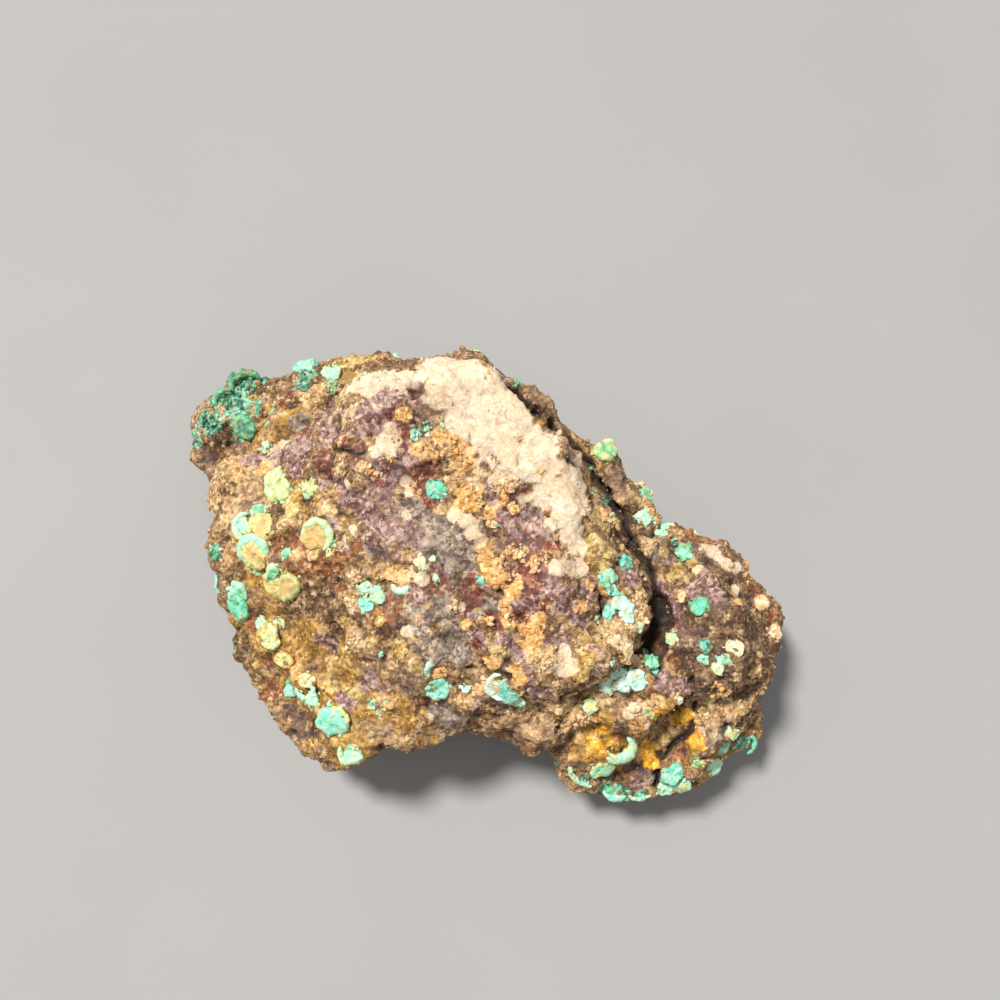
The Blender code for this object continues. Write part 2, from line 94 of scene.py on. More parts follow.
BROWN = Zone("brown", paint(94, 68, 42), paint(146, 112, 74), paint(194, 158, 112), 0.0, 0.17, 0.9, ())
ZONES = (
    Zone("golden", paint(138, 94, 36), paint(180, 134, 58), paint(206, 166, 88), 0.0, 0.13, 0.75, (
        (264, 650, 38), (319, 688, 45), (361, 709, 35), (357, 675, 20), (300, 735, 25), (262, 590, 25),
        (400, 720, 22), (240, 540, 20), (343, 745, 25), (342, 640, 12), (300, 500, 20), (245, 690, 25),
        (270, 610, 22), (300, 650, 35), (260, 560, 22), (240, 640, 25), (290, 675, 25), (365, 740, 22),
        (385, 610, 10), (640, 700, 18), (604, 712, 28), (588, 740, 25), (635, 730, 25), (672, 708, 22),
        (690, 740, 20), (655, 745, 15), (740, 705, 10), (425, 740, 12), (470, 735, 12), (300, 680, 22),
        (330, 700, 22), (310, 655, 20), (345, 665, 16), (200, 452, 14), (212, 446, 14), (330, 676, 16),
        (345, 690, 14),
    )),
    Zone("rust", paint(104, 58, 30), paint(154, 96, 52), paint(188, 134, 84), -0.1, 0.16, 0.7, (
        (300, 560, 20), (285, 545, 13), (320, 575, 13), (265, 660, 9), (245, 635, 9), (270, 690, 13),
        (395, 605, 13), (385, 620, 11), (690, 622, 15), (693, 645, 12), (675, 655, 8), (700, 690, 9),
        (358, 359, 9), (640, 716, 7), (622, 770, 10), (655, 690, 9), (530, 742, 16), (500, 735, 9),
        (745, 585, 11), (757, 590, 9), (770, 615, 7), (765, 645, 8), (735, 745, 7), (680, 748, 10),
        (565, 535, 7), (572, 552, 7), (430, 700, 7), (715, 705, 9), (312, 562, 16), (332, 586, 12),
        (255, 620, 9), (620, 735, 9), (302, 562, 22), (322, 578, 18), (338, 562, 13), (352, 548, 11),
        (292, 590, 10), (710, 668, 10), (690, 625, 14), (728, 640, 9), (660, 640, 9),
    )),
    # The umber crust is partly real colour and partly painted shade: its wide spots on the low right lobe
    # darken it as if less lit
    Zone("umber_and_shade", paint(62, 42, 28), paint(106, 78, 50), paint(148, 116, 80), -0.1, 0.2, 0.85, (
        (300, 595, 18), (320, 592, 13), (290, 605, 11), (330, 640, 8), (335, 618, 8), (205, 450, 12),
        (217, 440, 10), (230, 430, 9), (255, 393, 9), (266, 388, 10), (285, 374, 8), (293, 402, 7),
        (307, 499, 7), (720, 627, 16), (703, 632, 10), (741, 628, 12), (714, 612, 9), (690, 658, 8),
        (747, 690, 15), (731, 688, 11), (757, 652, 9), (742, 672, 9), (490, 705, 14), (508, 709, 11),
        (472, 711, 9), (510, 733, 9), (300, 725, 13), (290, 714, 10), (316, 727, 9), (625, 728, 10),
        (560, 738, 8), (384, 632, 9), (402, 626, 7), (598, 658, 8), (592, 674, 7), (640, 768, 10),
        (668, 748, 8), (520, 668, 9), (508, 672, 7), (668, 535, 9), (480, 650, 8), (735, 650, 29),
        (745, 632, 22), (762, 668, 18), (735, 702, 20), (700, 672, 15), (690, 600, 13), (718, 596, 13),
        (765, 640, 18), (725, 680, 22), (680, 640, 15), (740, 725, 13), (750, 610, 20), (710, 640, 22),
        (730, 620, 22), (756, 700, 15), (700, 570, 11), (720, 575, 11), (670, 610, 13), (650, 532, 15),
        (668, 550, 14), (690, 575, 17), (655, 565, 13), (722, 592, 17), (748, 598, 15), (632, 512, 11),
        (700, 610, 18), (770, 655, 14), (712, 655, 16), (735, 725, 13), (700, 695, 12), (315, 604, 14),
        (700, 556, 15), (730, 578, 14), (716, 606, 16), (745, 622, 16), (690, 640, 13),
    )),
    Zone("grey", paint(110, 92, 80), paint(156, 136, 120), paint(198, 182, 160), -0.05, 0.12, 0.8, (
        (445, 540, 29), (465, 530, 17), (430, 512, 15), (455, 560, 22), (470, 572, 12), (408, 510, 13),
        (425, 556, 10), (440, 608, 22), (425, 615, 17), (455, 628, 12), (440, 642, 15), (525, 652, 9),
        (540, 650, 10), (535, 688, 10), (490, 606, 11), (500, 609, 7), (345, 546, 9), (655, 553, 7),
        (449, 712, 16), (462, 650, 12), (715, 735, 10), (600, 560, 6), (300, 422, 10), (345, 412, 10),
        (430, 652, 16), (455, 650, 14), (420, 632, 14), (468, 636, 10), (412, 612, 10), (470, 612, 8),
    )),
    Zone("purple", paint(104, 64, 56), paint(164, 126, 116), paint(208, 178, 166), -0.05, 0.14, 0.6, (
        (374, 410, 32), (410, 392, 12), (336, 430, 20), (306, 440, 18), (300, 460, 15), (255, 458, 17),
        (276, 462, 12), (390, 420, 15), (330, 415, 15), (346, 402, 12), (400, 465, 17), (413, 460, 10),
        (385, 487, 20), (365, 505, 17), (346, 500, 12), (380, 530, 22), (400, 535, 15), (335, 520, 12),
        (525, 528, 24), (510, 514, 15), (541, 543, 11), (500, 498, 10), (490, 482, 11), (483, 456, 6),
        (570, 592, 15), (585, 592, 15), (579, 618, 10), (560, 605, 12), (533, 602, 22), (550, 588, 15),
        (512, 603, 11), (490, 588, 9), (480, 638, 11), (472, 698, 9), (560, 638, 9), (520, 662, 11),
        (592, 652, 10), (600, 668, 9), (636, 573, 12), (670, 558, 9), (664, 592, 15), (672, 606, 11),
        (690, 594, 12), (711, 590, 15), (680, 686, 10), (664, 681, 11), (655, 776, 11), (640, 781, 10),
        (650, 743, 9), (738, 757, 9), (370, 682, 11), (386, 692, 10), (430, 575, 12), (418, 590, 11),
        (340, 480, 11), (355, 470, 9), (440, 500, 7), (415, 540, 11), (545, 575, 10), (505, 640, 9),
        (518, 652, 13), (535, 664, 12), (524, 681, 12), (541, 692, 10), (514, 668, 10), (548, 642, 9),
        (330, 644, 11), (346, 700, 10), (318, 640, 8), (295, 455, 12), (325, 478, 9),
    )),
    Zone("tan", paint(154, 116, 72), paint(200, 162, 112), paint(232, 200, 150), 0.1, 0.22, 0.9, (
        (240, 485, 17), (232, 505, 11), (265, 500, 13), (255, 477, 11), (285, 522, 10), (235, 468, 10),
        (325, 508, 10), (340, 463, 10), (362, 468, 10), (340, 441, 8), (315, 395, 16), (272, 410, 10),
        (285, 398, 9), (405, 412, 6), (405, 485, 10), (421, 492, 6), (348, 528, 10), (357, 578, 10),
        (372, 570, 9), (352, 603, 10), (353, 638, 13), (372, 648, 8), (408, 637, 8), (410, 660, 10),
        (394, 662, 9), (386, 702, 8), (459, 605, 10), (500, 478, 13), (515, 491, 10), (470, 477, 13),
        (450, 490, 11), (456, 505, 10), (440, 506, 8), (540, 572, 6), (632, 625, 16), (645, 612, 10),
        (641, 590, 8), (652, 601, 7), (610, 627, 16), (600, 641, 8), (618, 700, 12), (600, 690, 9),
        (580, 641, 10), (545, 662, 13), (547, 682, 10), (530, 720, 19), (556, 718, 18), (612, 702, 9),
        (577, 714, 12), (592, 722, 7), (641, 712, 9), (656, 735, 7), (720, 702, 12), (713, 720, 12),
        (735, 715, 11), (748, 706, 9), (755, 670, 8), (465, 700, 7), (480, 690, 7), (620, 590, 8),
        (645, 545, 10), (620, 545, 10), (600, 490, 9), (615, 505, 9), (560, 410, 8), (575, 425, 7),
        (432, 466, 7), (296, 557, 6), (312, 553, 7), (760, 705, 7), (737, 600, 8), (690, 580, 6),
        (388, 735, 16), (735, 675, 6), (545, 478, 8), (560, 502, 8), (570, 528, 7), (528, 455, 6),
        (553, 462, 7), (586, 500, 7), (556, 496, 10), (566, 509, 9), (548, 488, 8), (575, 520, 8),
        (222, 474, 12), (216, 500, 10), (224, 520, 10), (232, 545, 8), (250, 540, 7), (575, 505, 6),
    )),
    Zone("mustard", paint(158, 120, 58), paint(202, 168, 96), paint(228, 204, 140), 0.05, 0.16, 0.88, (
        (600, 552, 14), (590, 541, 9), (605, 531, 12), (596, 512, 8), (600, 569, 9), (675, 570, 9),
        (664, 552, 6), (643, 563, 5), (626, 591, 6), (399, 648, 9), (372, 645, 7), (345, 622, 7),
        (330, 680, 11), (350, 690, 9), (581, 664, 10), (590, 658, 6), (581, 680, 7), (500, 655, 8),
        (345, 360, 14), (365, 358, 12), (254, 402, 9), (690, 563, 5), (613, 517, 7), (380, 620, 5),
        (287, 502, 8), (297, 488, 6), (268, 632, 7), (345, 660, 10), (418, 672, 8), (660, 700, 6),
    )),
    Zone("cream", paint(202, 166, 126), paint(226, 198, 162), paint(240, 222, 196), 0.1, 0.08, 0.85, (
        (420, 360, 22), (440, 370, 32), (462, 385, 36), (480, 400, 40), (497, 418, 42), (513, 436, 40),
        (530, 457, 34), (546, 474, 27), (558, 494, 24), (567, 512, 18), (573, 530, 14), (576, 548, 11),
        (575, 473, 14), (580, 487, 12), (384, 376, 14), (398, 380, 12), (352, 388, 11), (368, 384, 10),
        (386, 444, 13), (378, 450, 9), (391, 431, 8), (406, 482, 7), (408, 492, 5), (285, 446, 9),
        (272, 449, 7), (418, 571, 9), (424, 580, 6), (350, 608, 6), (408, 633, 6), (565, 650, 7),
        (565, 667, 10), (617, 642, 8), (627, 652, 9), (636, 662, 8), (703, 546, 7), (711, 552, 8),
        (719, 558, 8), (727, 564, 7), (735, 568, 6), (697, 569, 4), (763, 603, 8), (775, 632, 8),
        (736, 590, 7), (636, 708, 7), (628, 714, 5), (648, 724, 5), (556, 566, 8), (568, 566, 11),
        (578, 570, 8), (461, 608, 5), (348, 484, 5), (353, 528, 5), (455, 515, 7), (464, 521, 7),
        (473, 530, 8), (481, 538, 6), (405, 515, 6), (550, 525, 8),
    )),
    Zone("maroon", paint(76, 34, 26), paint(122, 60, 42), paint(170, 104, 76), -0.15, 0.08, 0.5, (
        (525, 560, 22), (508, 574, 12), (540, 545, 10), (420, 475, 16), (429, 490, 10), (431, 501, 7),
        (398, 434, 11), (394, 416, 7), (387, 466, 10), (374, 472, 7), (441, 582, 12), (430, 591, 7),
        (466, 604, 11), (470, 590, 11), (478, 600, 6), (497, 627, 7), (490, 616, 7), (325, 465, 13),
        (355, 448, 10), (345, 443, 6), (418, 394, 8), (411, 387, 6), (551, 545, 8), (511, 500, 10),
        (520, 494, 10), (476, 646, 7), (482, 656, 7), (520, 618, 10), (545, 605, 8), (488, 550, 6),
        (376, 482, 7), (470, 460, 4), (482, 466, 4), (505, 590, 6), (530, 585, 10),
    )),
    Zone("ochre", paint(200, 142, 74), paint(230, 178, 104), paint(246, 210, 150), 0.15, 0.2, 0.92, (
        (446, 440, 15), (460, 454, 14), (471, 463, 8), (430, 456, 9), (418, 450, 7), (472, 490, 11),
        (476, 503, 9), (462, 508, 8), (490, 512, 7), (484, 545, 8), (487, 559, 8), (492, 571, 10),
        (498, 583, 11), (505, 577, 7), (513, 590, 8), (506, 600, 4), (504, 612, 4), (504, 620, 4),
        (489, 622, 4), (466, 624, 6), (530, 630, 14), (533, 643, 10), (520, 641, 7), (541, 620, 7),
        (399, 574, 9), (390, 570, 8), (410, 578, 7), (492, 664, 8), (484, 661, 6), (513, 668, 7),
        (519, 678, 7), (522, 688, 6), (604, 588, 7), (580, 607, 6), (612, 603, 6), (573, 672, 6),
        (266, 468, 7), (240, 470, 7), (525, 550, 4), (505, 556, 4), (535, 558, 3), (295, 672, 8),
        (365, 470, 6), (502, 502, 4), (515, 510, 4), (441, 672, 7), (405, 415, 6), (700, 735, 7),
        (538, 470, 4), (563, 492, 4), (556, 515, 5), (520, 436, 4),
    )),
    Zone("yellow", paint(214, 138, 16), paint(240, 174, 28), paint(250, 204, 76), 0.1, 0.14, 0.8, (
        (602, 742, 12), (606, 732, 9), (598, 753, 11), (608, 758, 9), (588, 757, 8), (649, 752, 12),
        (652, 760, 8), (662, 714, 9), (684, 716, 10), (676, 718, 7), (692, 735, 8), (695, 745, 9),
    )),
    Zone("green", paint(40, 108, 84), paint(92, 168, 136), paint(160, 216, 188), 0.1, 0.26, 0.55, (
        (247, 378, 17), (230, 396, 14), (232, 412, 9), (205, 422, 13), (245, 428, 12), (306, 370, 11),
        (331, 374, 8), (195, 440, 8), (262, 376, 8), (218, 422, 8), (300, 384, 8), (332, 390, 7),
        (420, 430, 5), (361, 591, 5), (504, 368, 5), (609, 578, 5), (605, 452, 7), (645, 496, 6),
        (645, 519, 6), (664, 532, 6), (686, 553, 5), (622, 608, 5), (649, 662, 5), (627, 562, 5),
        (585, 780, 6), (606, 787, 6), (620, 793, 8), (643, 796, 6), (670, 782, 10), (715, 765, 8),
        (744, 744, 8), (238, 602, 9), (331, 721, 9), (350, 755, 7), (294, 692, 6), (310, 700, 6),
        (215, 552, 8), (732, 732, 4), (380, 653, 4), (255, 565, 6), (243, 525, 5), (590, 706, 6),
        (697, 762, 5), (785, 608, 6), (372, 704, 5), (724, 746, 5), (215, 400, 10), (240, 404, 12),
        (258, 408, 9), (224, 384, 10),
    )),
)

# Tints of the cream crust, grains and a film that lie over the zones, and the painted shade in the cracks
PEACH = paint(232, 192, 148)
CREAM = paint(240, 222, 196)
PALE_GREEN = paint(216, 210, 160)
PALE_GRAINS = (paint(192, 146, 96), paint(220, 178, 126), paint(238, 212, 168))
DARK_GRAINS = paint(66, 42, 36)
MAUVE_FILM = paint(160, 138, 134)
CRACK_SHADE = paint(40, 28, 22)

# The board under the stone: its two greys, and the size of its mottle in millimetres
BOARD = (paint(146, 145, 144), paint(154, 153, 152))
BOARD_MOTTLE = 60.0

# The stone's colour patterns, by their sizes in millimetres: clouds, grain, the zones' ragged edges, the
# cream's tints, stains and smears, the purple's dark pepper and its patches, the mauve film, the dark
# veins and their patches. Veins wander by (size, reach), and flecks are (size, channel of a colour).
CLOUD = 2.4
GRAIN_SIZE = 0.55
RAGGED_EDGE = 1.3
CREAM_TINT = 2.8
CREAM_STAIN = 1.1
CREAM_SMEAR = 1.9
PEPPER = 0.4
PEPPER_DRIFT = 1.7
FILM = 5.5
VEIN = 2.2
VEIN_WANDER = (1.2, 1.0)
VEIN_DRIFT = 2.6
FLECKS = ((0.45, "Red"), (0.45, "Green"), (0.7, "Blue"))

# Bump of the stone, the malachite and the crumbs: cells and noise by size, and depth, in millimetres
GRIT_CELLS = 0.5
GRIT_NOISE = 0.28
GRIT_DEPTH = 0.2
SILK_CELLS = 0.3
SILK_NOISE = 0.25
SILK_DEPTH = 0.12
CRUMB_DEPTH = 0.1

# Clouds and pale bloom of the malachite and the crumbs, and dust on the malachite, by their sizes
FINE_CLOUD = 0.5
BLOOM = 0.7
DUST = 1.1

# Malachite and its crusts
MALACHITE = {
    "deep": paint(40, 118, 88), "green": paint(104, 186, 138), "teal": paint(112, 204, 180),
    "mint": paint(164, 222, 196), "pale": paint(194, 226, 180), "lime": paint(208, 210, 136),
    "mustard": paint(206, 174, 104), "ochre": paint(224, 174, 108), "white": paint(212, 238, 226),
    "cream": paint(228, 208, 166), "peach": paint(230, 188, 142), "tan": paint(206, 164, 112),
    "brown": paint(150, 112, 72),
}

# Round buttons: x, y and radius in pixels, then the colours of the middle and the rim
BUTTONS = (
    (279, 486, 14, "lime", "pale"), (310, 487, 8, "lime", "pale"), (293, 511, 7, "mustard", "lime"),
    (259, 511, 7, "green", "mint"), (243, 526, 8, "mint", "pale"), (262, 528, 13, "ochre", "lime"),
    (256, 553, 15, "ochre", "lime"), (258, 567, 7, "green", "lime"), (283, 584, 16, "mustard", "lime"),
    (273, 571, 7, "green", "pale"), (286, 553, 5, "green", "mint"), (316, 536, 13, "ochre", "mustard"),
    (329, 541, 6, "pale", "mint"), (331, 550, 5, "lime", "pale"), (238, 593, 10, "green", "mint"),
    (240, 607, 11, "teal", "green"), (262, 624, 6, "pale", "mint"), (268, 631, 8, "lime", "mustard"),
    (271, 642, 7, "pale", "lime"), (280, 623, 5, "lime", "pale"), (284, 660, 8, "lime", "mustard"),
    (290, 690, 6, "mint", "teal"), (307, 680, 7, "cream", "lime"), (313, 699, 7, "mint", "pale"),
    (332, 721, 14, "teal", "mint"), (353, 757, 8, "pale", "mint"), (366, 603, 7, "teal", "mint"),
    (378, 595, 8, "pale", "mint"), (365, 588, 6, "pale", "mint"), (372, 590, 4, "ochre", "peach"),
    (394, 574, 8, "ochre", "peach"), (405, 577, 8, "peach", "ochre"), (436, 578, 3, "white", "pale"),
    (437, 487, 9, "teal", "green"), (440, 672, 7, "ochre", "ochre"), (439, 686, 11, "teal", "mint"),
    (466, 688, 5, "mint", "white"), (507, 690, 13, "teal", "mint"), (491, 684, 9, "white", "peach"),
    (518, 701, 6, "mint", "pale"), (482, 580, 5, "teal", "mint"), (399, 751, 6, "green", "lime"),
    (456, 752, 5, "green", "lime"), (479, 755, 4, "tan", "tan"), (375, 763, 5, "teal", "mint"),
    (605, 451, 11, "green", "lime"), (646, 497, 8, "green", "mint"), (644, 518, 7, "mint", "pale"),
    (663, 529, 8, "mint", "pale"), (684, 553, 8, "mint", "green"), (609, 577, 7, "teal", "mint"),
    (605, 582, 5, "green", "teal"), (612, 590, 6, "teal", "mint"), (620, 603, 8, "white", "mint"),
    (627, 613, 8, "mint", "white"), (609, 612, 6, "mint", "teal"), (596, 619, 6, "cream", "pale"),
    (638, 627, 5, "pale", "cream"), (616, 645, 8, "peach", "cream"), (625, 654, 9, "tan", "cream"),
    (634, 663, 8, "peach", "cream"), (625, 563, 6, "deep", "teal"), (612, 663, 4, "white", "mint"),
    (617, 675, 9, "white", "mint"), (607, 685, 8, "white", "pale"), (622, 685, 8, "white", "mint"),
    (636, 679, 9, "mint", "white"), (648, 655, 5, "green", "mint"), (651, 663, 6, "mint", "green"),
    (653, 672, 5, "green", "teal"), (699, 606, 8, "teal", "green"), (673, 640, 7, "lime", "mint"),
    (706, 646, 6, "teal", "deep"), (704, 660, 5, "mint", "teal"), (735, 648, 8, "pale", "cream"),
    (724, 659, 6, "green", "mint"), (719, 668, 6, "cream", "pale"), (762, 603, 7, "cream", "tan"),
    (775, 632, 7, "cream", "tan"), (697, 570, 5, "cream", "peach"), (682, 597, 5, "cream", "peach"),
    (677, 698, 5, "white", "cream"), (732, 733, 6, "lime", "pale"), (722, 747, 6, "teal", "mint"),
    (713, 766, 9, "mint", "pale"), (697, 762, 6, "green", "lime"), (672, 774, 10, "mint", "teal"),
    (681, 785, 8, "lime", "mint"), (666, 787, 8, "mint", "pale"), (602, 767, 11, "teal", "lime"),
    (590, 706, 7, "lime", "pale"), (649, 713, 5, "green", "mustard"), (634, 707, 6, "cream", "peach"),
    (245, 427, 11, "deep", "green"), (306, 368, 10, "mint", "teal"), (332, 374, 8, "mint", "pale"),
    (266, 446, 5, "mint", "pale"), (494, 524, 4, "white", "teal"), (433, 560, 3, "white", "pale"),
    (380, 653, 4, "teal", "mint"), (420, 563, 6, "pale", "cream"), (614, 793, 7, "teal", "green"),
)

# Curved ridges: x, y and outer radius, and thickness, in pixels, then where the arc starts and how far it
# runs, in degrees anticlockwise from the right, and the colours of the crest and the sides
RIDGES = (
    (255, 552, 20, 11, -60, 300, "mint", "pale"), (318, 535, 19, 9, -70, 260, "pale", "lime"),
    (248, 526, 17, 8, 90, 200, "mint", "pale"), (279, 486, 16, 8, 60, 260, "pale", "lime"),
    (281, 583, 18, 7, 20, 190, "lime", "pale"), (438, 688, 13, 7, -200, 240, "mint", "teal"),
    (266, 635, 13, 7, -120, 200, "lime", "pale"), (306, 690, 12, 7, 160, 280, "mint", "pale"),
    (333, 721, 18, 6, -70, 170, "lime", "lime"), (350, 751, 14, 8, 150, 200, "pale", "mint"),
    (434, 669, 12, 8, 60, 180, "mint", "white"), (455, 750, 12, 8, -100, 150, "lime", "green"),
    (505, 684, 22, 6, -40, 130, "ochre", "ochre"), (503, 686, 19, 7, 95, 190, "white", "pale"),
    (402, 581, 15, 9, 195, 150, "mint", "white"), (618, 745, 20, 12, -165, 215, "mint", "lime"),
    (598, 765, 31, 6, 172, 100, "pale", "mint"), (618, 780, 22, 7, 215, 80, "mint", "teal"),
    (640, 784, 18, 5, 225, 90, "mint", "lime"), (605, 451, 12, 4, -80, 200, "mint", "green"),
    (437, 488, 11, 5, 60, 300, "teal", "mint"), (744, 745, 14, 5, -70, 140, "teal", "green"),
    (247, 388, 20, 9, 30, 170, "deep", "green"), (228, 402, 16, 7, 80, 130, "green", "deep"),
    (375, 597, 11, 4, 0, 220, "pale", "mint"), (416, 436, 6, 3, 40, 280, "mint", "teal"),
)

# Patches of small beads: x, y and radius in pixels, and two colours that the beads take in turn
PATCHES = (
    (371, 595, 11, "pale", "mint"), (438, 488, 11, "teal", "mint"), (416, 436, 6, "teal", "white"),
    (427, 426, 6, "teal", "mint"), (429, 433, 4, "white", "teal"), (443, 428, 4, "mint", "pale"),
    (450, 427, 3, "white", "mint"), (494, 524, 4, "pale", "white"), (503, 367, 7, "teal", "mint"),
    (517, 385, 5, "teal", "green"), (618, 682, 9, "white", "mint"), (633, 674, 7, "mint", "white"),
    (623, 607, 7, "white", "mint"), (607, 578, 6, "teal", "green"), (613, 588, 5, "mint", "teal"),
    (627, 563, 4, "teal", "deep"), (704, 660, 4, "mint", "teal"), (671, 778, 12, "mint", "teal"),
    (682, 786, 8, "lime", "mint"), (715, 766, 9, "pale", "teal"), (723, 748, 5, "teal", "mint"),
    (585, 783, 6, "pale", "mint"), (614, 791, 8, "teal", "green"), (640, 797, 6, "mint", "green"),
    (247, 380, 14, "deep", "green"), (230, 400, 11, "green", "deep"), (207, 420, 10, "deep", "green"),
    (306, 368, 9, "mint", "teal"), (259, 512, 5, "green", "mint"), (381, 712, 5, "pale", "mint"),
    (388, 705, 4, "mint", "pale"), (372, 704, 5, "mint", "lime"), (420, 570, 7, "pale", "cream"),
    (649, 662, 6, "green", "mint"), (744, 745, 7, "teal", "green"), (215, 555, 7, "deep", "green"),
    (300, 694, 7, "mint", "pale"), (256, 568, 7, "green", "lime"), (595, 466, 5, "teal", "green"),
    (655, 524, 5, "teal", "pale"), (675, 542, 5, "deep", "teal"), (350, 755, 7, "mint", "pale"),
    (590, 706, 7, "lime", "pale"), (697, 762, 5, "green", "lime"), (332, 388, 6, "lime", "green"),
)

# Clusters of pale grains on the dark grounds, listed in the same way
GRAINS = (
    (510, 552, 10, "peach", "ochre"), (524, 551, 8, "peach", "cream"), (529, 562, 7, "peach", "ochre"),
    (500, 562, 6, "peach", "ochre"), (514, 577, 6, "peach", "tan"), (536, 569, 6, "cream", "peach"),
    (486, 622, 7, "ochre", "peach"), (505, 606, 8, "ochre", "peach"), (509, 622, 7, "ochre", "cream"),
    (455, 605, 8, "peach", "cream"), (386, 463, 7, "peach", "ochre"), (405, 413, 6, "ochre", "tan"),
    (340, 467, 9, "tan", "cream"), (362, 467, 8, "peach", "cream"), (376, 473, 6, "peach", "cream"),
    (415, 487, 7, "tan", "peach"), (500, 488, 10, "peach", "ochre"), (514, 484, 9, "peach", "cream"),
    (508, 502, 7, "peach", "ochre"), (472, 496, 10, "ochre", "cream"), (455, 483, 9, "peach", "tan"),
    (590, 587, 5, "ochre", "peach"), (580, 606, 7, "ochre", "tan"), (545, 560, 4, "cream", "peach"),
    (448, 448, 13, "ochre", "peach"), (462, 462, 9, "ochre", "tan"), (488, 560, 8, "ochre", "ochre"),
    (497, 580, 10, "ochre", "ochre"), (530, 634, 12, "ochre", "ochre"), (352, 603, 9, "cream", "tan"),
    (357, 578, 8, "peach", "cream"), (420, 620, 6, "peach", "tan"), (380, 575, 7, "peach", "ochre"),
    (310, 552, 6, "peach", "tan"), (545, 665, 12, "cream", "tan"), (640, 600, 10, "tan", "peach"),
    (636, 620, 12, "tan", "cream"), (610, 520, 9, "tan", "cream"), (650, 700, 10, "peach", "tan"),
    (580, 720, 12, "tan", "peach"), (720, 690, 12, "tan", "ochre"), (700, 720, 10, "cream", "tan"),
    (560, 720, 12, "tan", "mustard"), (350, 640, 10, "cream", "tan"), (480, 690, 7, "peach", "tan"),
    (590, 660, 8, "mustard", "ochre"), (490, 520, 7, "ochre", "peach"),
    (390, 700, 10, "tan", "mustard"),
)

# Grids of the small shapes: rings between the poles, and spokes around
BUTTON_GRID = (13, 40)
RIDGE_GRID = (44, 12)
BEAD_GRID = (3, 6)
CRUMB_GRID = (2, 5)

# Buttons: how much wider than its listed radius each is, the outline's lobes as (how many, reach), the
# powers that round the outline and the top, and the least and most height and dish as shares of the
# radius. Then the powers by which the dish and the rim's colour fade, and how far a button sinks and
# lifts in millimetres.
BUTTON_SPREAD = 1.12
BUTTON_LOBES = ((2, 0.1), (3, 0.07), (5, 0.04))
BUTTON_OUTLINE = 0.8
BUTTON_TOP = 0.75
BUTTON_HEIGHTS = (0.3, 0.46)
BUTTON_DISH = (0.1, 0.6)
BUTTON_DISH_FADE = 0.7
BUTTON_RIM = 1.8
BUTTON_SINK = 0.7
BUTTON_LIFT = 0.1

# Ridges: lobes along the crest as (how often, reach), the least and most radians at which a lobe or a far
# ridge starts, the power that blunts the ends, and height and lift as shares of the thickness
RIDGE_LOBES = ((5, 0.07), (9, 0.07))
RIDGE_STARTS = (0, 6)
RIDGE_ENDS = 0.4
RIDGE_TALL = 0.75
RIDGE_LIFT = 0.25

# The malachite's surface: warps as (length, reach), its beads' size and lift in millimetres, the painted
# shade that their height puts in their creases and the least and most of that, how the two colours run
# into each other as (length, reach), and how rough the buttons and the ridges are
MALACHITE_WARP = ((1.6, 0.09), (0.6, 0.05))
MALACHITE_BEAD = 0.45
MALACHITE_BEAD_LIFT = 0.2
MALACHITE_CREASE_SHADE = 0.6
MALACHITE_CREASE_SHADE_RANGE = (0.6, 1.1)
MALACHITE_RUN = (0.9, 0.5)
BUTTON_ROUGH = 1.0
RIDGE_ROUGH = 0.55

# How far the listed shapes turn to the camera. Then, by a button's radius, how wide its calm seat is and
# how that fades, how much calmer the skin is there, and how far its brown collar of grains reaches.
TURN_SHARE = 0.55
SEAT = 1.15
SEAT_REACH = 2.0
SEAT_FADE = 1.6
SEAT_CALM = 0.85
COLLAR = 1.3

# Patches of beads and grains: how many a square millimetre, the least and most radius, and the jitter.
# Small sizes are commoner by a power.
BEAD = (17.0, 0.12, 0.36, 0.16)
GRAIN = (14.0, 0.12, 0.42, 0.3)
BEAD_SHADES = (0.8, 1.1)
BEAD_SMALLNESS = 1.5
LEAST_BEADS = 2

# Balls strewn on the stone, at random: how their three radii vary, how far out they sit as a share of the
# radius, and how the shade of their points varies
BALL_SQUASH = (0.7, 1.2)
BALL_SEAT = (-0.35, 0.25)
BALL_SHADES = (0.85, 1.1)

# Crumbs: name, how many, the least and most radius, and a seed. Then the power that makes small ones
# commoner, their jitter, how they gather in drifts as (length, mean, reach), the least and most of that,
# how much thinner they lie on smooth crusts, and how near the floor they stop. Their tones run over part
# of a zone's three, whose middle one lies at a share. They mix across zone edges, and a share are pale.
CRUMBS = (("fine_crumbs", 7000, 0.1, 0.26, 31), ("coarse_crumbs", 1100, 0.2, 0.55, 41))
CRUMB_SMALLNESS = 2.5
CRUMB_JITTER = 0.28
CRUMB_DRIFTS = (5.0, 0.6, 0.5)
DRIFT_LIMITS = (0.05, 2.0)
CRUMB_THINNING = 0.75
CRUMB_FLOOR = 1.2
CRUMB_TONES = (0.05, 0.75)
CRUMB_TONE_MIDDLE = 0.3
CRUMB_EDGE = 0.12
PALE_CRUMBS = 0.1

# Relief of the skin: folds as (length, reach) and grit as (size, share) in millimetres, pits as (length,
# level, depth), knobbles as (length, share), and how much calmer the cream crust is. A fold's and a bead's
# mean height are taken off, so that the relief averages zero.
FOLDS = ((6.0, 0.24), (2.8, 0.15))
GRIT = ((1.7, 1.0), (0.9, 0.8))
PITS = (3.2, 1.5, 0.9)
KNOBBLES = (0.95, 0.5)
FOLD_MEAN = 0.8
BEAD_MEAN = 0.7
CREAM_CALM = 0.62

# A zone's strength falls from the middle of a spot outwards, is roughened by (length, reach), and covers
# the skin over a short step above a level. A crack's width wanders by (length, reach), down to a least.
ZONE_FALL = 0.8
ZONE_EDGE = ((3.2, 0.16), (1.5, 0.1))
ZONE_LEVEL = 0.42
ZONE_STEP = 0.16
CRACK_WANDER = (2.0, 0.35)
CRACK_LEAST = 0.1

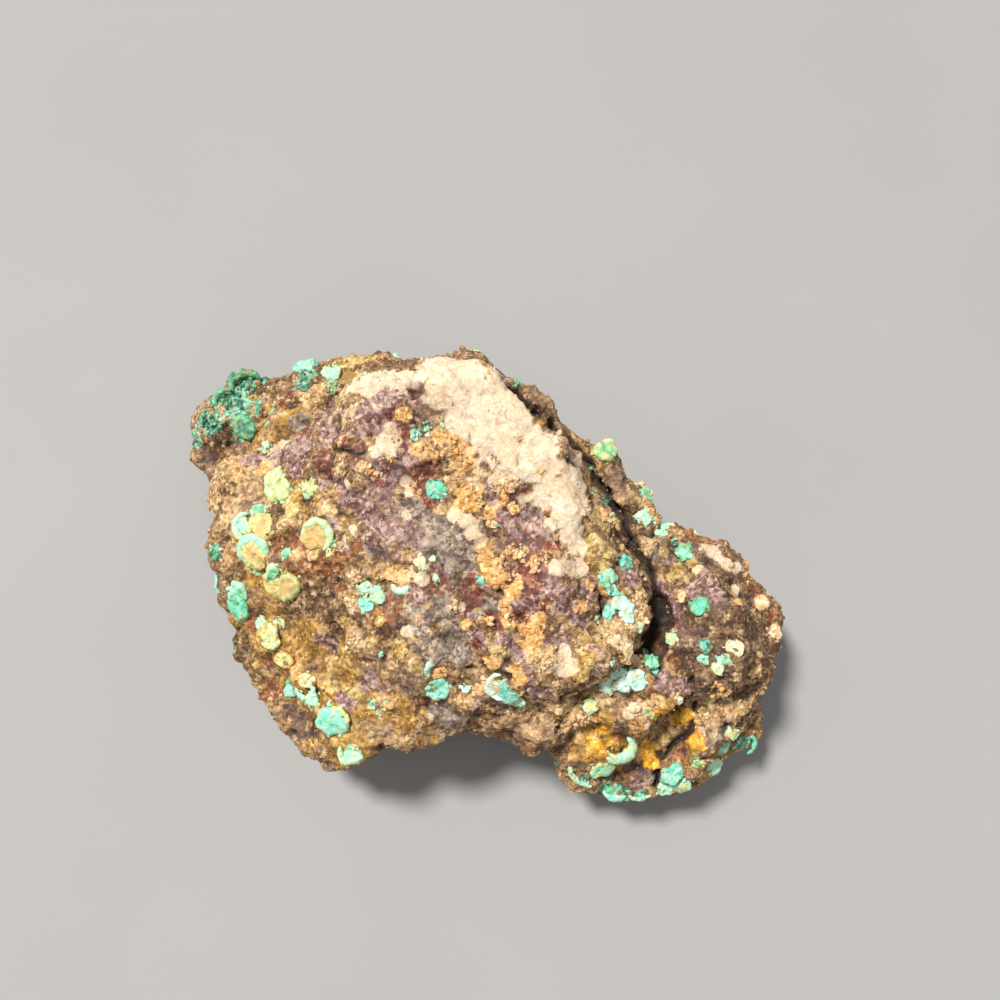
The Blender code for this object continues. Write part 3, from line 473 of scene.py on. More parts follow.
# The seeds of the random draws
FAR_SPOT_SEED = 7
BUTTON_SEED = 21
RIDGE_SEED = 23
BEAD_SEED = 25
GRAIN_SEED = 51
RELIEF_SEED = 50
WARP_SEED = 60
CRACK_SEED = 90
ZONE_SEED = 100

# The zones that carry few crumbs
SMOOTH_ZONES = ("cream", "purple", "grey", "yellow", "golden")

# The far sides' growths and spots. They lie where the normal's share towards the camera is less than a
# limit, and off the floor by some millimetres. Sizes and arcs are the least and most, in millimetres and
# radians, a ridge's thickness and a spot's size are shares, and the last four say how many.
FAR_LEAN = 0.15
FAR_FLOOR = 2.0
FAR_SPOT_LEAN = 0.1
FAR_SPOT_FLOOR = 1.0
FAR_SPOT_SIZES = (0.6, 1.4)
FAR_BUTTON_SIZES = (0.5, 1.6)
FAR_RIDGE_SIZES = (0.9, 1.9)
FAR_RIDGE_THICK = 0.4
FAR_RIDGE_SWEEPS = (2.5, 5.8)
FAR_PATCH_SIZES = (0.5, 1.8)
FAR_BUTTONS = 46
FAR_RIDGES = 22
FAR_PATCHES = 60
FAR_GRAINS = 50
FAR_PAIRS = (("teal", "mint"), ("green", "mint"), ("lime", "pale"), ("mint", "pale"), ("deep", "green"),
             ("mustard", "lime"), ("pale", "white"))
GRAIN_PAIRS = (("ochre", "peach"), ("tan", "cream"), ("peach", "tan"), ("ochre", "tan"))

# What the photograph doesn't show: spots of each zone on the far sides, as (zone, how many, radius in mm)
FAR_SPOTS = (
    ("golden", 12, 4.5), ("rust", 12, 3.0), ("umber_and_shade", 12, 3.0), ("grey", 6, 3.0), ("purple", 12, 3.5),
    ("tan", 16, 3.0), ("mustard", 8, 2.5), ("cream", 7, 2.2), ("maroon", 8, 2.0), ("ochre", 16, 1.6),
    ("green", 26, 1.3),
)

# Cracks of the photograph: points in pixels, then width and depth in millimetres
Crack = namedtuple("Crack", "spots width depth")
CRACKS = (
    Crack(((504, 382), (524, 403), (556, 426), (573, 443), (588, 462), (600, 483), (610, 506), (625, 523),
           (629, 542), (652, 573), (658, 592), (661, 617), (652, 644), (644, 652)), 0.7, 2.8),
    Crack(((612, 671), (585, 688), (564, 698), (563, 725), (559, 732)), 0.4, 1.2),
    Crack(((692, 680), (694, 707), (690, 732), (673, 744), (661, 757), (656, 784)), 0.45, 1.6),
    Crack(((722, 742), (708, 760), (695, 765)), 0.4, 1.0),
    Crack(((520, 440), (517, 465)), 0.25, 0.6),
    Crack(((570, 460), (578, 466), (585, 472)), 0.3, 0.9),
    Crack(((337, 449), (350, 452), (364, 452)), 0.4, 1.0),
    Crack(((600, 480), (612, 500), (618, 520)), 0.35, 0.9),
    Crack(((455, 372), (470, 395), (468, 420)), 0.25, 0.5),
    Crack(((660, 600), (668, 622), (661, 650), (655, 668)), 0.6, 1.8),
    Crack(((612, 671), (640, 664), (655, 668)), 0.45, 1.2),
    Crack(((596, 590), (604, 604), (600, 622)), 0.4, 1.0),
    Crack(((470, 670), (500, 655), (540, 690), (580, 694)), 0.35, 0.6),
)


# Arrays

WAVES = 24
WAVE_SPREAD = (0.75, 1.4)
LATTICE = 48
TINY = 1e-6


def unevenness(points, length, seed):
    """A sum of sine waves that run in random directions, with lengths about the one given. It averages
    zero and strays about one either way."""
    random = np.random.default_rng(seed)
    runs = random.normal(size=(3, WAVES))
    runs *= 2 * math.pi / (length * random.uniform(*WAVE_SPREAD, WAVES) * np.linalg.norm(runs, axis=0))
    starts = random.uniform(0, 2 * math.pi, WAVES)
    return np.sin(points @ runs + starts).sum(axis=1) * math.sqrt(2 / WAVES)


def beads(points, size, seed):
    """Round beads packed side by side: one middle lies at random in each cell of a lattice, and the height
    is that of a ball round the nearest one, 1 at its middle and 0 a cell's width away."""
    random = np.random.default_rng(seed)
    middles = random.uniform(0, 1, (LATTICE, LATTICE, LATTICE, 3))
    scaled = points / size
    low = np.floor(scaled).astype(int)
    nearest = np.ones(len(points))
    for step in np.ndindex(3, 3, 3):
        cell = low + step - 1
        place = cell % LATTICE
        middle = cell + middles[place[:, 0], place[:, 1], place[:, 2]]
        nearest = np.minimum(nearest, np.sum((scaled - middle) ** 2, axis=1))
    return np.sqrt(1 - nearest)


def points_of(mesh):
    """The mesh's points as an array of rows."""
    flat = np.empty(len(mesh.vertices) * 3, np.float32)
    mesh.vertices.foreach_get("co", flat)
    return flat.reshape(-1, 3).astype(float)


def normals_of(mesh):
    """The mesh's point normals as an array of rows."""
    flat = np.empty(len(mesh.vertices) * 3, np.float32)
    mesh.vertex_normals.foreach_get("vector", flat)
    return flat.reshape(-1, 3).astype(float)


def put_points(mesh, points):
    """Moves the mesh's points to the rows of an array."""
    mesh.vertices.foreach_set("co", points.astype(np.float32).ravel())
    mesh.update()


def neighbour_mean(mesh, values):
    """Each point's neighbours along the edges, averaged."""
    flat = np.empty(len(mesh.edges) * 2, np.int32)
    mesh.edges.foreach_get("vertices", flat)
    first, second = flat[0::2], flat[1::2]
    count = np.bincount(first, minlength=len(values)) + np.bincount(second, minlength=len(values))
    mean = [
        np.bincount(first, column[second], len(values)) + np.bincount(second, column[first], len(values))
        for column in values.T
    ]
    return np.stack(mean, axis=1) / count[:, None]


def keep_values(mesh, name, values):
    """Stores one number a point on the mesh."""
    mesh.attributes.new(name, "FLOAT", "POINT").data.foreach_set("value", values.astype(np.float32))


def keep_colours(mesh, name, colours):
    """Stores one colour a point on the mesh."""
    full = np.ones((len(colours), 4), np.float32)
    full[:, :3] = colours
    mesh.attributes.new(name, "FLOAT_COLOR", "POINT").data.foreach_set("color", full.ravel())


def ball_angles(rings, spokes):
    """A closed grid's two parameters: the angle from the lower pole, and the angle around. The lower pole
    comes first, then rings of spokes points, then the upper pole."""
    rise = np.repeat(np.arange(1, rings + 1) * math.pi / (rings + 1), spokes)
    turn = np.tile(np.arange(spokes) * 2 * math.pi / spokes, rings)
    return np.concatenate(([0], rise, [math.pi])), np.concatenate(([0], turn, [0]))


def ball_faces(rings, spokes):
    """The triangles of that grid, facing out."""
    here = 1 + np.arange(rings * spokes).reshape(rings, spokes)
    beside = np.roll(here, -1, axis=1)
    lower = np.stack((np.zeros(spokes, int), beside[0], here[0]), axis=1)
    upper = np.stack((np.full(spokes, rings * spokes + 1), here[-1], beside[-1]), axis=1)
    first = np.stack((here[:-1], beside[:-1], beside[1:]), axis=-1).reshape(-1, 3)
    second = np.stack((here[:-1], beside[1:], here[1:]), axis=-1).reshape(-1, 3)
    return np.concatenate((lower, first, second, upper))


def joined(points, faces, tints, name):
    """One mesh of many copies of a grid. The points are copies by grid points by 3, the tints alike."""
    copies, size, _ = points.shape
    every = faces[None] + size * np.arange(copies)[:, None, None]
    mesh = bpy.data.meshes.new(name)
    mesh.from_pydata(points.reshape(-1, 3).tolist(), [], every.reshape(-1, 3).tolist())
    keep_colours(mesh, "tint", tints.reshape(-1, 3))
    return mesh


def side_ways(normals):
    """Two unit directions in the surface at each normal: nearest to the camera's right, and its up."""
    right = camera_frame()[1]
    right = right - normals * (normals @ right)[:, None]
    right /= np.maximum(np.linalg.norm(right, axis=1), TINY)[:, None]
    return right, np.cross(normals, right)


# Shader maths

class Flow:
    """A number that flows through a shader. Each Python operation on it adds one Math node."""

    def __init__(self, finish, socket):
        self.finish = finish
        self.socket = socket

    def maths(self, operation, *others):
        values = {place: value for place, value in enumerate((self, *others))}
        return self.finish.add("ShaderNodeMath", {"operation": operation}, values)

    def __add__(self, other):
        return self.maths("ADD", other)

    def __radd__(self, other):
        return self.maths("ADD", other)

    def __sub__(self, other):
        return self.maths("SUBTRACT", other)

    def __rsub__(self, other):
        return self.finish.add("ShaderNodeMath", {"operation": "SUBTRACT"}, {0: other, 1: self})

    def __mul__(self, other):
        return self.maths("MULTIPLY", other)

    def __rmul__(self, other):
        return self.maths("MULTIPLY", other)

    def __pow__(self, other):
        return self.maths("POWER", other)

    def above(self, level, softness):
        """0 well below the level, 1 well above it, and a smooth step between."""
        values = {0: self, 1: level - softness, 2: level + softness}
        return self.finish.add("ShaderNodeMapRange", {"interpolation_type": "SMOOTHSTEP"}, values)


class Finish:
    """A material being made, on its Principled shader."""

    def __init__(self, name):
        self.material = bpy.data.materials.new(name)
        self.material.use_nodes = True
        self.tree = self.material.node_tree
        self.shader = self.tree.nodes["Principled BSDF"]
        place = self.add("ShaderNodeTexCoord", {}, {}, "Object")
        self.place = self.add("ShaderNodeVectorMath", {"operation": "SCALE"}, {0: place, "Scale": 1 / MM})

    def add(self, kind, settings, values, output=0):
        """One node: its settings first, then the values or links of its sockets."""
        node = self.tree.nodes.new(kind)
        for name, setting in settings.items():
            setattr(node, name, setting)
        for name, value in values.items():
            self.feed(node.inputs[name], value)
        return Flow(self, node.outputs[output])

    def feed(self, socket, value):
        """Gives a socket a link if the value flows, else the value itself."""
        if isinstance(value, Flow):
            self.tree.links.new(value.socket, socket)
        elif isinstance(value, tuple) and len(value) == 3 and socket.type == "RGBA":
            socket.default_value = (*value, 1.0)
        else:
            socket.default_value = value

    def give(self, name, value):
        """Feeds one socket of the Principled shader."""
        self.feed(self.shader.inputs[name], value)

    def attribute(self, name, output="Fac"):
        return self.add("ShaderNodeAttribute", {"attribute_name": name}, {}, output)

    def noise(self, size, detail=3.0, rough=0.6, place=None, bent=0.0):
        """Cloudy noise about 0 to 1, with lumps of about that size in millimetres."""
        values = {"Vector": place or self.place, "Scale": 1 / size, "Detail": detail, "Roughness": rough,
                  "Distortion": bent}
        return self.add("ShaderNodeTexNoise", {}, values)

    def cells(self, size, output="Distance", feature="F1", place=None):
        """Cells of about that size in millimetres: the distance to each one's middle, or its colour."""
        values = {"Vector": place or self.place, "Scale": 1 / size}
        return self.add("ShaderNodeTexVoronoi", {"feature": feature}, values, output)

    def channel(self, colour, name):
        """The red, green or blue of a colour."""
        return self.add("ShaderNodeSeparateColor", {}, {0: colour}, name)

    def wavy(self, size, reach):
        """The place, moved about by noise of that size, by up to the reach in millimetres."""
        drift = self.add("ShaderNodeTexNoise", {}, {"Vector": self.place, "Scale": 1 / size}, "Color")
        return self.add("ShaderNodeVectorMath", {"operation": "MULTIPLY_ADD"},
                        {0: drift, 1: (reach,) * 3, 2: self.place})

    def mix(self, share, first, second):
        """One colour over another, by share."""
        return self.add("ShaderNodeMix", {"data_type": "RGBA"}, {0: share, 6: first, 7: second}, 2)

    def shade(self, colour, factor):
        """A colour made lighter or darker by a number."""
        return self.add("ShaderNodeVectorMath", {"operation": "SCALE"}, {0: colour, "Scale": factor})

    def tones(self, share, dark, middle, light):
        """Three tones in turn as the share goes from 0 to 1."""
        low = self.mix(share.above(0.35, 0.2), dark, middle)
        return self.mix(share.above(0.66, 0.18), low, light)

    def bump(self, height, strength, depth, under=None):
        """The normal that a height gives, on top of another. The depth is in millimetres."""
        values = {"Height": height, "Strength": strength, "Distance": depth * MM}
        if under is not None:
            values["Normal"] = under
        return self.add("ShaderNodeBump", {}, values)


# Sight through the camera

def camera_frame():
    """The camera's place, and its unit directions right, up and back."""
    tilt = math.radians(CAMERA_ELEVATION)
    right = np.array((1.0, 0.0, 0.0))
    up = np.array((0.0, math.sin(tilt), math.cos(tilt)))
    back = np.array((0.0, -math.cos(tilt), math.sin(tilt)))
    return AIM + CAMERA_DISTANCE * back, right, up, back


def seen(tree, x, y):
    """Where the photograph's pixel (x, y) falls on the stone, the normal there, and how many millimetres a
    pixel spans at that depth."""
    eye, right, up, back = camera_frame()
    reach = PICTURE * LENS / SENSOR
    way = (x - PICTURE / 2) / reach * right - (y - PICTURE / 2) / reach * up - back
    spot, normal, _, distance = tree.ray_cast(Vector(eye), Vector(way))
    if spot is None:
        return None
    depth = distance / np.linalg.norm(way)
    return np.array(spot), np.array(normal), depth / reach


# The skin: its mesh, points, calm normals, zone strengths, a tree of its faces and a finder of its points
Skin = namedtuple("Skin", "mesh points normals zones tree finder")


def packed_surface(node):
    """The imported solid's loose triangles as one closed mesh, in millimetres."""
    mesh = bpy.data.meshes.new("packed")
    shape = bmesh.new()
    shape.from_mesh(node.data)
    bmesh.ops.scale(shape, vec=(1 / MM,) * 3, verts=shape.verts)
    bmesh.ops.remove_doubles(shape, verts=shape.verts, dist=MERGE_NEAR)
    shape.to_mesh(mesh)
    shape.free()
    return mesh


def refaced(mesh, face):
    """The mesh's shape in even square faces of about that size."""
    holder = bpy.data.objects.new("holder", mesh)
    bpy.context.scene.collection.objects.link(holder)
    change = holder.modifiers.new("even", "REMESH")
    change.mode = "VOXEL"
    change.voxel_size = face
    graph = bpy.context.evaluated_depsgraph_get()
    made = bpy.data.meshes.new_from_object(holder.evaluated_get(graph))
    bpy.data.objects.remove(holder)
    return made


def zone_strength(points, spots, seed):
    """How strongly a zone covers each point, about 0.5 at its ragged edge: nearness to the nearest of its
    spots, as a share of the spot's radius, roughened by unevenness."""
    best = np.full(len(points), -1.0)
    for place, radius in spots:
        best = np.maximum(best, 1 - np.linalg.norm(points - place, axis=1) / radius)
    ragged = sum(reach * unevenness(points, length, seed + step)
                 for step, (length, reach) in enumerate(ZONE_EDGE))
    return np.clip(0.5 + ZONE_FALL * best + ragged, 0, 1)


def far_spots(points, normals, many, radius, random):
    """Spots of a zone on the sides that the photograph's camera doesn't see."""
    back = camera_frame()[3]
    hidden = np.flatnonzero((normals @ back < FAR_SPOT_LEAN) & (points[:, 2] > FAR_SPOT_FLOOR))
    picked = random.choice(hidden, many)
    return [(points[k], radius * random.uniform(*FAR_SPOT_SIZES)) for k in picked]


def zone_spots(tree, zone):
    """The spots of a zone that the photograph shows, as places and radii in millimetres."""
    hits = [(seen(tree, x, y), radius) for x, y, radius in zone.spots]
    return [(hit[0], radius * hit[2]) for hit, radius in hits if hit is not None]


def crack_depth(points, tree, crack):
    """How deep a crack cuts at each point: full depth on its line, fading over its width."""
    hits = [seen(tree, x, y) for x, y in crack.spots]
    corners = [hit[0] for hit in hits if hit is not None]
    least = np.full(len(points), np.inf)
    for start, end in zip(corners[:-1], corners[1:]):
        leg = end - start
        along = np.clip(((points - start) @ leg) / (leg @ leg), 0, 1)
        least = np.minimum(least, np.linalg.norm(points - start - along[:, None] * leg, axis=1))
    length, reach = CRACK_WANDER
    width = crack.width * (1 + reach * unevenness(points, length, CRACK_SEED))
    return crack.depth * np.exp(-((least / np.maximum(width, CRACK_LEAST)) ** 2))


def cover(strength):
    """A zone's share at each point, from its strength: a smooth step at the edge."""
    step = np.clip((strength - ZONE_LEVEL) / ZONE_STEP, 0, 1)
    return step * step * (3 - 2 * step)


def seat_share(points, tree):
    """1 under the listed buttons, fading to 0 past their edges: a calm seat, so no grit breaks through."""
    share = np.zeros(len(points))
    for spot, place, _, pixel in found(tree, BUTTONS):
        away = np.linalg.norm(points - place, axis=1) / (SEAT * spot[2] * pixel)
        share = np.maximum(share, np.clip(SEAT_REACH - SEAT_FADE * away, 0, 1))
    return share


def skin_relief(points, zones):
    """How far the skin stands off the smoothed solid: creases where an unevenness crosses zero, at two
    sizes, round grit at two, pits where a slow unevenness is high, and each zone's own lift."""
    lumps = np.full(len(points), BROWN.lumps)
    lift = np.zeros(len(points))
    for zone in ZONES:
        share = cover(zones[zone.name])
        lumps += share * (zone.lumps - lumps)
        lift += share * (zone.lift - lift)
    calm = 1 - CREAM_CALM * cover(zones["cream"])
    folds = sum(reach * (np.abs(unevenness(points, length, RELIEF_SEED + step)) - FOLD_MEAN)
                for step, (length, reach) in enumerate(FOLDS))
    grit = sum(share * (beads(points, size, RELIEF_SEED + 2 + step) - BEAD_MEAN)
               for step, (size, share) in enumerate(GRIT))
    length, level, depth = PITS
    pits = depth * np.clip(unevenness(points, length, RELIEF_SEED + 4) - level, 0, 1)
    length, share = KNOBBLES
    knobbles = share * unevenness(points, length, RELIEF_SEED + 5)
    return lift + calm * (folds - pits) + lumps * (grit + knobbles)


def make_skin(node):
    """The stone's skin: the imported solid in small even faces, smoothed, raised into relief that is calm
    under the buttons, and cracked. It keeps each zone's strength, each point's depth in a crack, and how
    high it stands over its surroundings."""
    mesh = refaced(packed_surface(node), SKIN_FACE)
    points = points_of(mesh)
    for _ in range(SMOOTH_ROUNDS):
        points += SMOOTH_PULL * (neighbour_mean(mesh, points) - points)
    put_points(mesh, points)
    normals = normals_of(mesh)
    tree = BVHTree.FromPolygons(points.tolist(), [tuple(face.vertices) for face in mesh.polygons])
    random = np.random.default_rng(FAR_SPOT_SEED)
    zones = {}
    for order, zone in enumerate(ZONES):
        spots = zone_spots(tree, zone)
        for name, many, radius in FAR_SPOTS:
            if name == zone.name:
                spots += far_spots(points, normals, many, radius, random)
        zones[zone.name] = zone_strength(points, spots, ZONE_SEED + 10 * order)
        keep_values(mesh, zone.name, zones[zone.name])
    cut = np.max([crack_depth(points, tree, crack) for crack in CRACKS], axis=0)
    keep_values(mesh, "crack", cut)
    relief = skin_relief(points, zones) * (1 - SEAT_CALM * seat_share(points, tree)) - cut
    raised = points + normals * relief[:, None]
    raised[:, 2] = np.where(raised[:, 2] < FOOT_FLAT, 0.0, raised[:, 2])
    put_points(mesh, raised)
    calm = raised
    for _ in range(SURROUND_ROUNDS):
        calm = neighbour_mean(mesh, calm)
    keep_values(mesh, "height", np.sum((raised - calm) * normals_of(mesh), axis=1))
    finder = KDTree(len(raised))
    for index, point in enumerate(raised):
        finder.insert(point, index)
    finder.balance()
    tree = BVHTree.FromPolygons(raised.tolist(), [tuple(face.vertices) for face in mesh.polygons])
    return Skin(mesh, raised, calm_normals(mesh), zones, tree, finder)


# Malachite

def standing(spots, normals, sideways, heights):
    """Carries each grid, given in rows as (right, up, out) of its own place, onto the stone at its spot."""
    right, up = sideways
    return spots[:, None, :] + heights @ np.stack((right, up, normals), axis=1)


def button_shape(radius, seed):
    """A button in millimetres: a low dome, the outline lobed, the middle dished by a random share. Its
    share of the rim's colour is 0 in the middle and 1 at the rim."""
    random = np.random.default_rng(seed)
    rise, turn = ball_angles(*BUTTON_GRID)
    out = np.sin(rise) ** BUTTON_OUTLINE
    upper = np.maximum(-np.cos(rise), 0)
    lower = np.minimum(-np.cos(rise), 0)
    edge = radius * (1 + sum(reach * np.sin(lobes * turn + random.uniform(0, 2 * math.pi))
                             for lobes, reach in BUTTON_LOBES))
    top = upper ** BUTTON_TOP * (1 - random.uniform(*BUTTON_DISH) * (1 - out) ** BUTTON_DISH_FADE)
    heights = radius * random.uniform(*BUTTON_HEIGHTS) * top + BUTTON_SINK * lower + BUTTON_LIFT
    rows = np.stack((edge * out * np.cos(turn), edge * out * np.sin(turn), heights), axis=1)
    return rows, np.where(upper > 0, out, 1.0) ** BUTTON_RIM


def ridge_shape(radius, thick, start, sweep, seed):
    """A curved ridge in millimetres: a tube that runs along an arc, thinner towards its two closed ends,
    and beaded along its length. Its share of the second colour is 0 on the crest, a half at the sides."""
    random = np.random.default_rng(seed)
    rise, turn = ball_angles(*RIDGE_GRID)
    along = start + sweep * rise / math.pi
    swell = 1 + sum(reach * np.sin(lobes * along + random.uniform(*RIDGE_STARTS))
                    for lobes, reach in RIDGE_LOBES)
    fat = 0.5 * thick * np.sin(rise) ** RIDGE_ENDS * swell
    out = radius - 0.5 * thick + fat * np.cos(turn)
    heights = -RIDGE_TALL * fat * np.sin(turn) + RIDGE_LIFT * thick
    rows = np.stack((out * np.cos(along), out * np.sin(along), heights), axis=1)
    return rows, 0.5 + 0.5 * np.sin(turn)


def malachite_mesh(name, shapes, spots, normals, colours, faces, rough):
    """One mesh of many shapes on the stone, in two colours each that run into each other. They are warped
    every way by unevenness, and raised into small beads whose creases carry painted shade, both times
    rough."""
    rows = np.stack([shape for shape, _ in shapes])
    shares = np.stack([share for _, share in shapes])
    points = standing(spots, normals, side_ways(normals), rows)
    flat = points.reshape(-1, 3)
    warp = [
        sum(reach * unevenness(flat, length, WARP_SEED + 10 * step + axis)
            for step, (length, reach) in enumerate(MALACHITE_WARP))
        for axis in range(3)
    ]
    warp = np.stack(warp, axis=1)
    bead = beads(flat, MALACHITE_BEAD, WARP_SEED + 3) - BEAD_MEAN
    warp += MALACHITE_BEAD_LIFT * bead[:, None] * np.repeat(normals, rows.shape[1], axis=0)
    points += rough * warp.reshape(points.shape)
    length, reach = MALACHITE_RUN
    run = reach * unevenness(flat, length, WARP_SEED + 4)
    shares = np.clip(shares + run.reshape(shares.shape), 0, 1)[..., None]
    first, second = (np.array([MALACHITE[pair[k]] for pair in colours])[:, None, :] for k in (0, 1))
    # Painted shade: the beads' creases are made darker, as if in shadow
    shade = np.clip(1 + MALACHITE_CREASE_SHADE * bead, *MALACHITE_CREASE_SHADE_RANGE).reshape(shares.shape)
    return joined(points, faces, shade * (first + shares * (second - first)), name)


def found(tree, spots):
    """Each listed spot that the camera sees on the stone, its place and normal, and the millimetres a
    pixel spans there."""
    hits = [(spot, seen(tree, spot[0], spot[1])) for spot in spots]
    return [(spot, *hit) for spot, hit in hits if hit is not None]


def calm_normals(mesh):
    """The skin's point normals, averaged over a wide patch."""
    normals = normals_of(mesh)
    for _ in range(CALM_ROUNDS):
        normals = neighbour_mean(mesh, normals)
    return normals / np.linalg.norm(normals, axis=1)[:, None]


def facing(skin, places):
    """The skin's normals at places that the photograph shows, turned partly to its camera, as the malachite
    shapes there stand nearly square to it."""
    near = [skin.finder.find(place)[1] for place in places]
    turned = skin.normals[near] + TURN_SHARE * camera_frame()[3]
    return turned / np.linalg.norm(turned, axis=1)[:, None]


def far_places(points, normals, many, seed):
    """Skin points picked at random on the sides that the camera doesn't see."""
    random = np.random.default_rng(seed)
    hidden = np.flatnonzero((normals @ camera_frame()[3] < FAR_LEAN) & (points[:, 2] > FAR_FLOOR))
    return random.choice(hidden, many)


def growth_seats(skin, rows, many, seed):
    """The places and normals where growths stand: those listed, and many more on the far sides."""
    spots = np.array([place for _, place, _, _ in rows])
    far = far_places(skin.points, skin.normals, many, seed)
    normals = np.concatenate((facing(skin, spots), skin.normals[far]))
    return np.concatenate((spots, skin.points[far])), normals


def make_buttons(skin):
    """The round buttons: those listed, and more of mixed size on the far sides."""
    random = np.random.default_rng(BUTTON_SEED)
    rows = found(skin.tree, BUTTONS)
    spots, normals = growth_seats(skin, rows, FAR_BUTTONS, BUTTON_SEED + 1)
    sizes = [BUTTON_SPREAD * spot[2] * pixel for spot, _, _, pixel in rows]
    sizes += list(random.uniform(*FAR_BUTTON_SIZES, FAR_BUTTONS))
    colours = [spot[3:] for spot, _, _, _ in rows]
    colours += [FAR_PAIRS[k] for k in random.integers(0, len(FAR_PAIRS), FAR_BUTTONS)]
    shapes = [button_shape(size, seed) for seed, size in enumerate(sizes)]
    faces = ball_faces(*BUTTON_GRID)
    return malachite_mesh("malachite_buttons", shapes, spots, normals, colours, faces, BUTTON_ROUGH)


def make_ridges(skin):
    """The curved ridges: those listed, and more on the far sides."""
    random = np.random.default_rng(RIDGE_SEED)
    rows = found(skin.tree, RIDGES)
    spots, normals = growth_seats(skin, rows, FAR_RIDGES, RIDGE_SEED + 1)
    arcs = [(spot[2] * pixel, spot[3] * pixel, math.radians(spot[4]), math.radians(spot[5]))
            for spot, _, _, pixel in rows]
    colours = [spot[6:] for spot, _, _, _ in rows]
    for _ in range(FAR_RIDGES):
        size = random.uniform(*FAR_RIDGE_SIZES)
        start = random.uniform(*RIDGE_STARTS)
        arcs.append((size, FAR_RIDGE_THICK * size, start, random.uniform(*FAR_RIDGE_SWEEPS)))
        colours.append(FAR_PAIRS[random.integers(0, len(FAR_PAIRS))])
    shapes = [ridge_shape(*arc, seed) for seed, arc in enumerate(arcs)]
    faces = ball_faces(*RIDGE_GRID)
    return malachite_mesh("malachite_ridges", shapes, spots, normals, colours, faces, RIDGE_ROUGH)


def strewn_balls(places, normals, sizes, tints, grid, jitter, seed, name):
    """One mesh of many small lumps: a ball's grid for each, squashed and turned at random, its points
    moved in or out at random, and sunk a little into the stone."""
    random = np.random.default_rng(seed)
    many = len(places)
    rise, turn = ball_angles(*grid)
    ball = np.stack((np.sin(rise) * np.cos(turn), np.sin(rise) * np.sin(turn), -np.cos(rise)), axis=1)
    knobbly = ball[None] * (1 + jitter * random.uniform(-1, 1, (many, len(ball), 1)))
    knobbly = knobbly * random.uniform(*BALL_SQUASH, (many, 1, 3))
    turned, _ = np.linalg.qr(random.normal(size=(many, 3, 3)))
    turned *= np.sign(np.linalg.det(turned))[:, None, None]
    centres = places + normals * (sizes * random.uniform(*BALL_SEAT, many))[:, None]
    points = centres[:, None, :] + sizes[:, None, None] * (knobbly @ turned)
    shade = tints[:, None, :] * random.uniform(*BALL_SHADES, (many, len(ball), 1))
    return joined(points, ball_faces(*grid), shade, name)


def make_beads(skin, name, patches, more, pairs, bead, seed):
    """Patches of small beads: they lie at random in each listed patch, and in more on the far sides, in
    one of the pairs of colours. A bead is (how many a square millimetre, least and most radius, jitter)."""
    density, least, most, jitter = bead
    random = np.random.default_rng(seed)
    rows = [(place, spot[2] * pixel, spot[3:]) for spot, place, _, pixel in found(skin.tree, patches)]
    for k in far_places(skin.points, skin.normals, more, seed + 1):
        radius = random.uniform(*FAR_PATCH_SIZES)
        rows.append((skin.points[k], radius, pairs[random.integers(0, len(pairs))]))
    picked, colours = [], []
    for place, radius, pair in rows:
        near = np.array([index for _, index, _ in skin.finder.find_range(place, radius)], int)
        if len(near) == 0:
            continue
        many = int(density * radius * radius) + LEAST_BEADS
        picked += list(random.choice(near, many))
        colours += [MALACHITE[pair[k]] for k in random.integers(0, 2, many)]
    picked = np.array(picked)
    sizes = least + (most - least) * random.uniform(0, 1, len(picked)) ** BEAD_SMALLNESS
    tints = np.array(colours) * random.uniform(*BEAD_SHADES, (len(picked), 1))
    places, normals = skin.points[picked], skin.normals[picked]
    return strewn_balls(places, normals, sizes, tints, BEAD_GRID, jitter, seed + 2, name)


# Crumbs

def crust_colours(skin, random):
    """A likely crumb colour at each skin point: a tone of the zone that covers it there."""
    tone = random.uniform(*CRUMB_TONES, len(skin.points))[:, None]

    def blend(zone):
        dark, middle, light = (np.array(colour)[None] for colour in (zone.dark, zone.middle, zone.light))
        low = np.clip(tone / CRUMB_TONE_MIDDLE, 0, 1)
        high = np.clip((tone - CRUMB_TONE_MIDDLE) / (1 - CRUMB_TONE_MIDDLE), 0, 1)
        return dark + low * (middle - dark) + high * (light - middle)

    colours = blend(BROWN)
    for zone in ZONES:
        share = cover(skin.zones[zone.name] + CRUMB_EDGE * random.normal(size=len(skin.points)))[:, None]
        colours = colours + share * (blend(zone) - colours)
    pale = np.array(PALE_GRAINS)[random.integers(0, len(PALE_GRAINS), len(skin.points))]
    share = random.uniform(0, 1, (len(skin.points), 1)) < PALE_CRUMBS
    return np.where(share, 0.5 * colours + 0.5 * pale, colours)


def make_crumbs(skin, name, many, smallest, largest, seed):
    """Loose-looking crumbs strewn on the skin, thicker in drifts and thinner on the smooth crusts."""
    random = np.random.default_rng(seed)
    length, mean, reach = CRUMB_DRIFTS
    drifts = np.clip(mean + reach * unevenness(skin.points, length, seed + 1), *DRIFT_LIMITS)
    smooth = np.maximum.reduce([cover(skin.zones[zone]) for zone in SMOOTH_ZONES])
    chance = drifts * (1 - CRUMB_THINNING * smooth) * (skin.points[:, 2] > CRUMB_FLOOR)
    picked = random.choice(len(skin.points), many, p=chance / chance.sum(), replace=False)
    sizes = smallest + (largest - smallest) * random.uniform(0, 1, many) ** CRUMB_SMALLNESS
    tints = crust_colours(skin, random)[picked]
    places, normals = skin.points[picked], skin.normals[picked]
    return strewn_balls(places, normals, sizes, tints, CRUMB_GRID, CRUMB_JITTER, seed + 2, name)


# Finishes

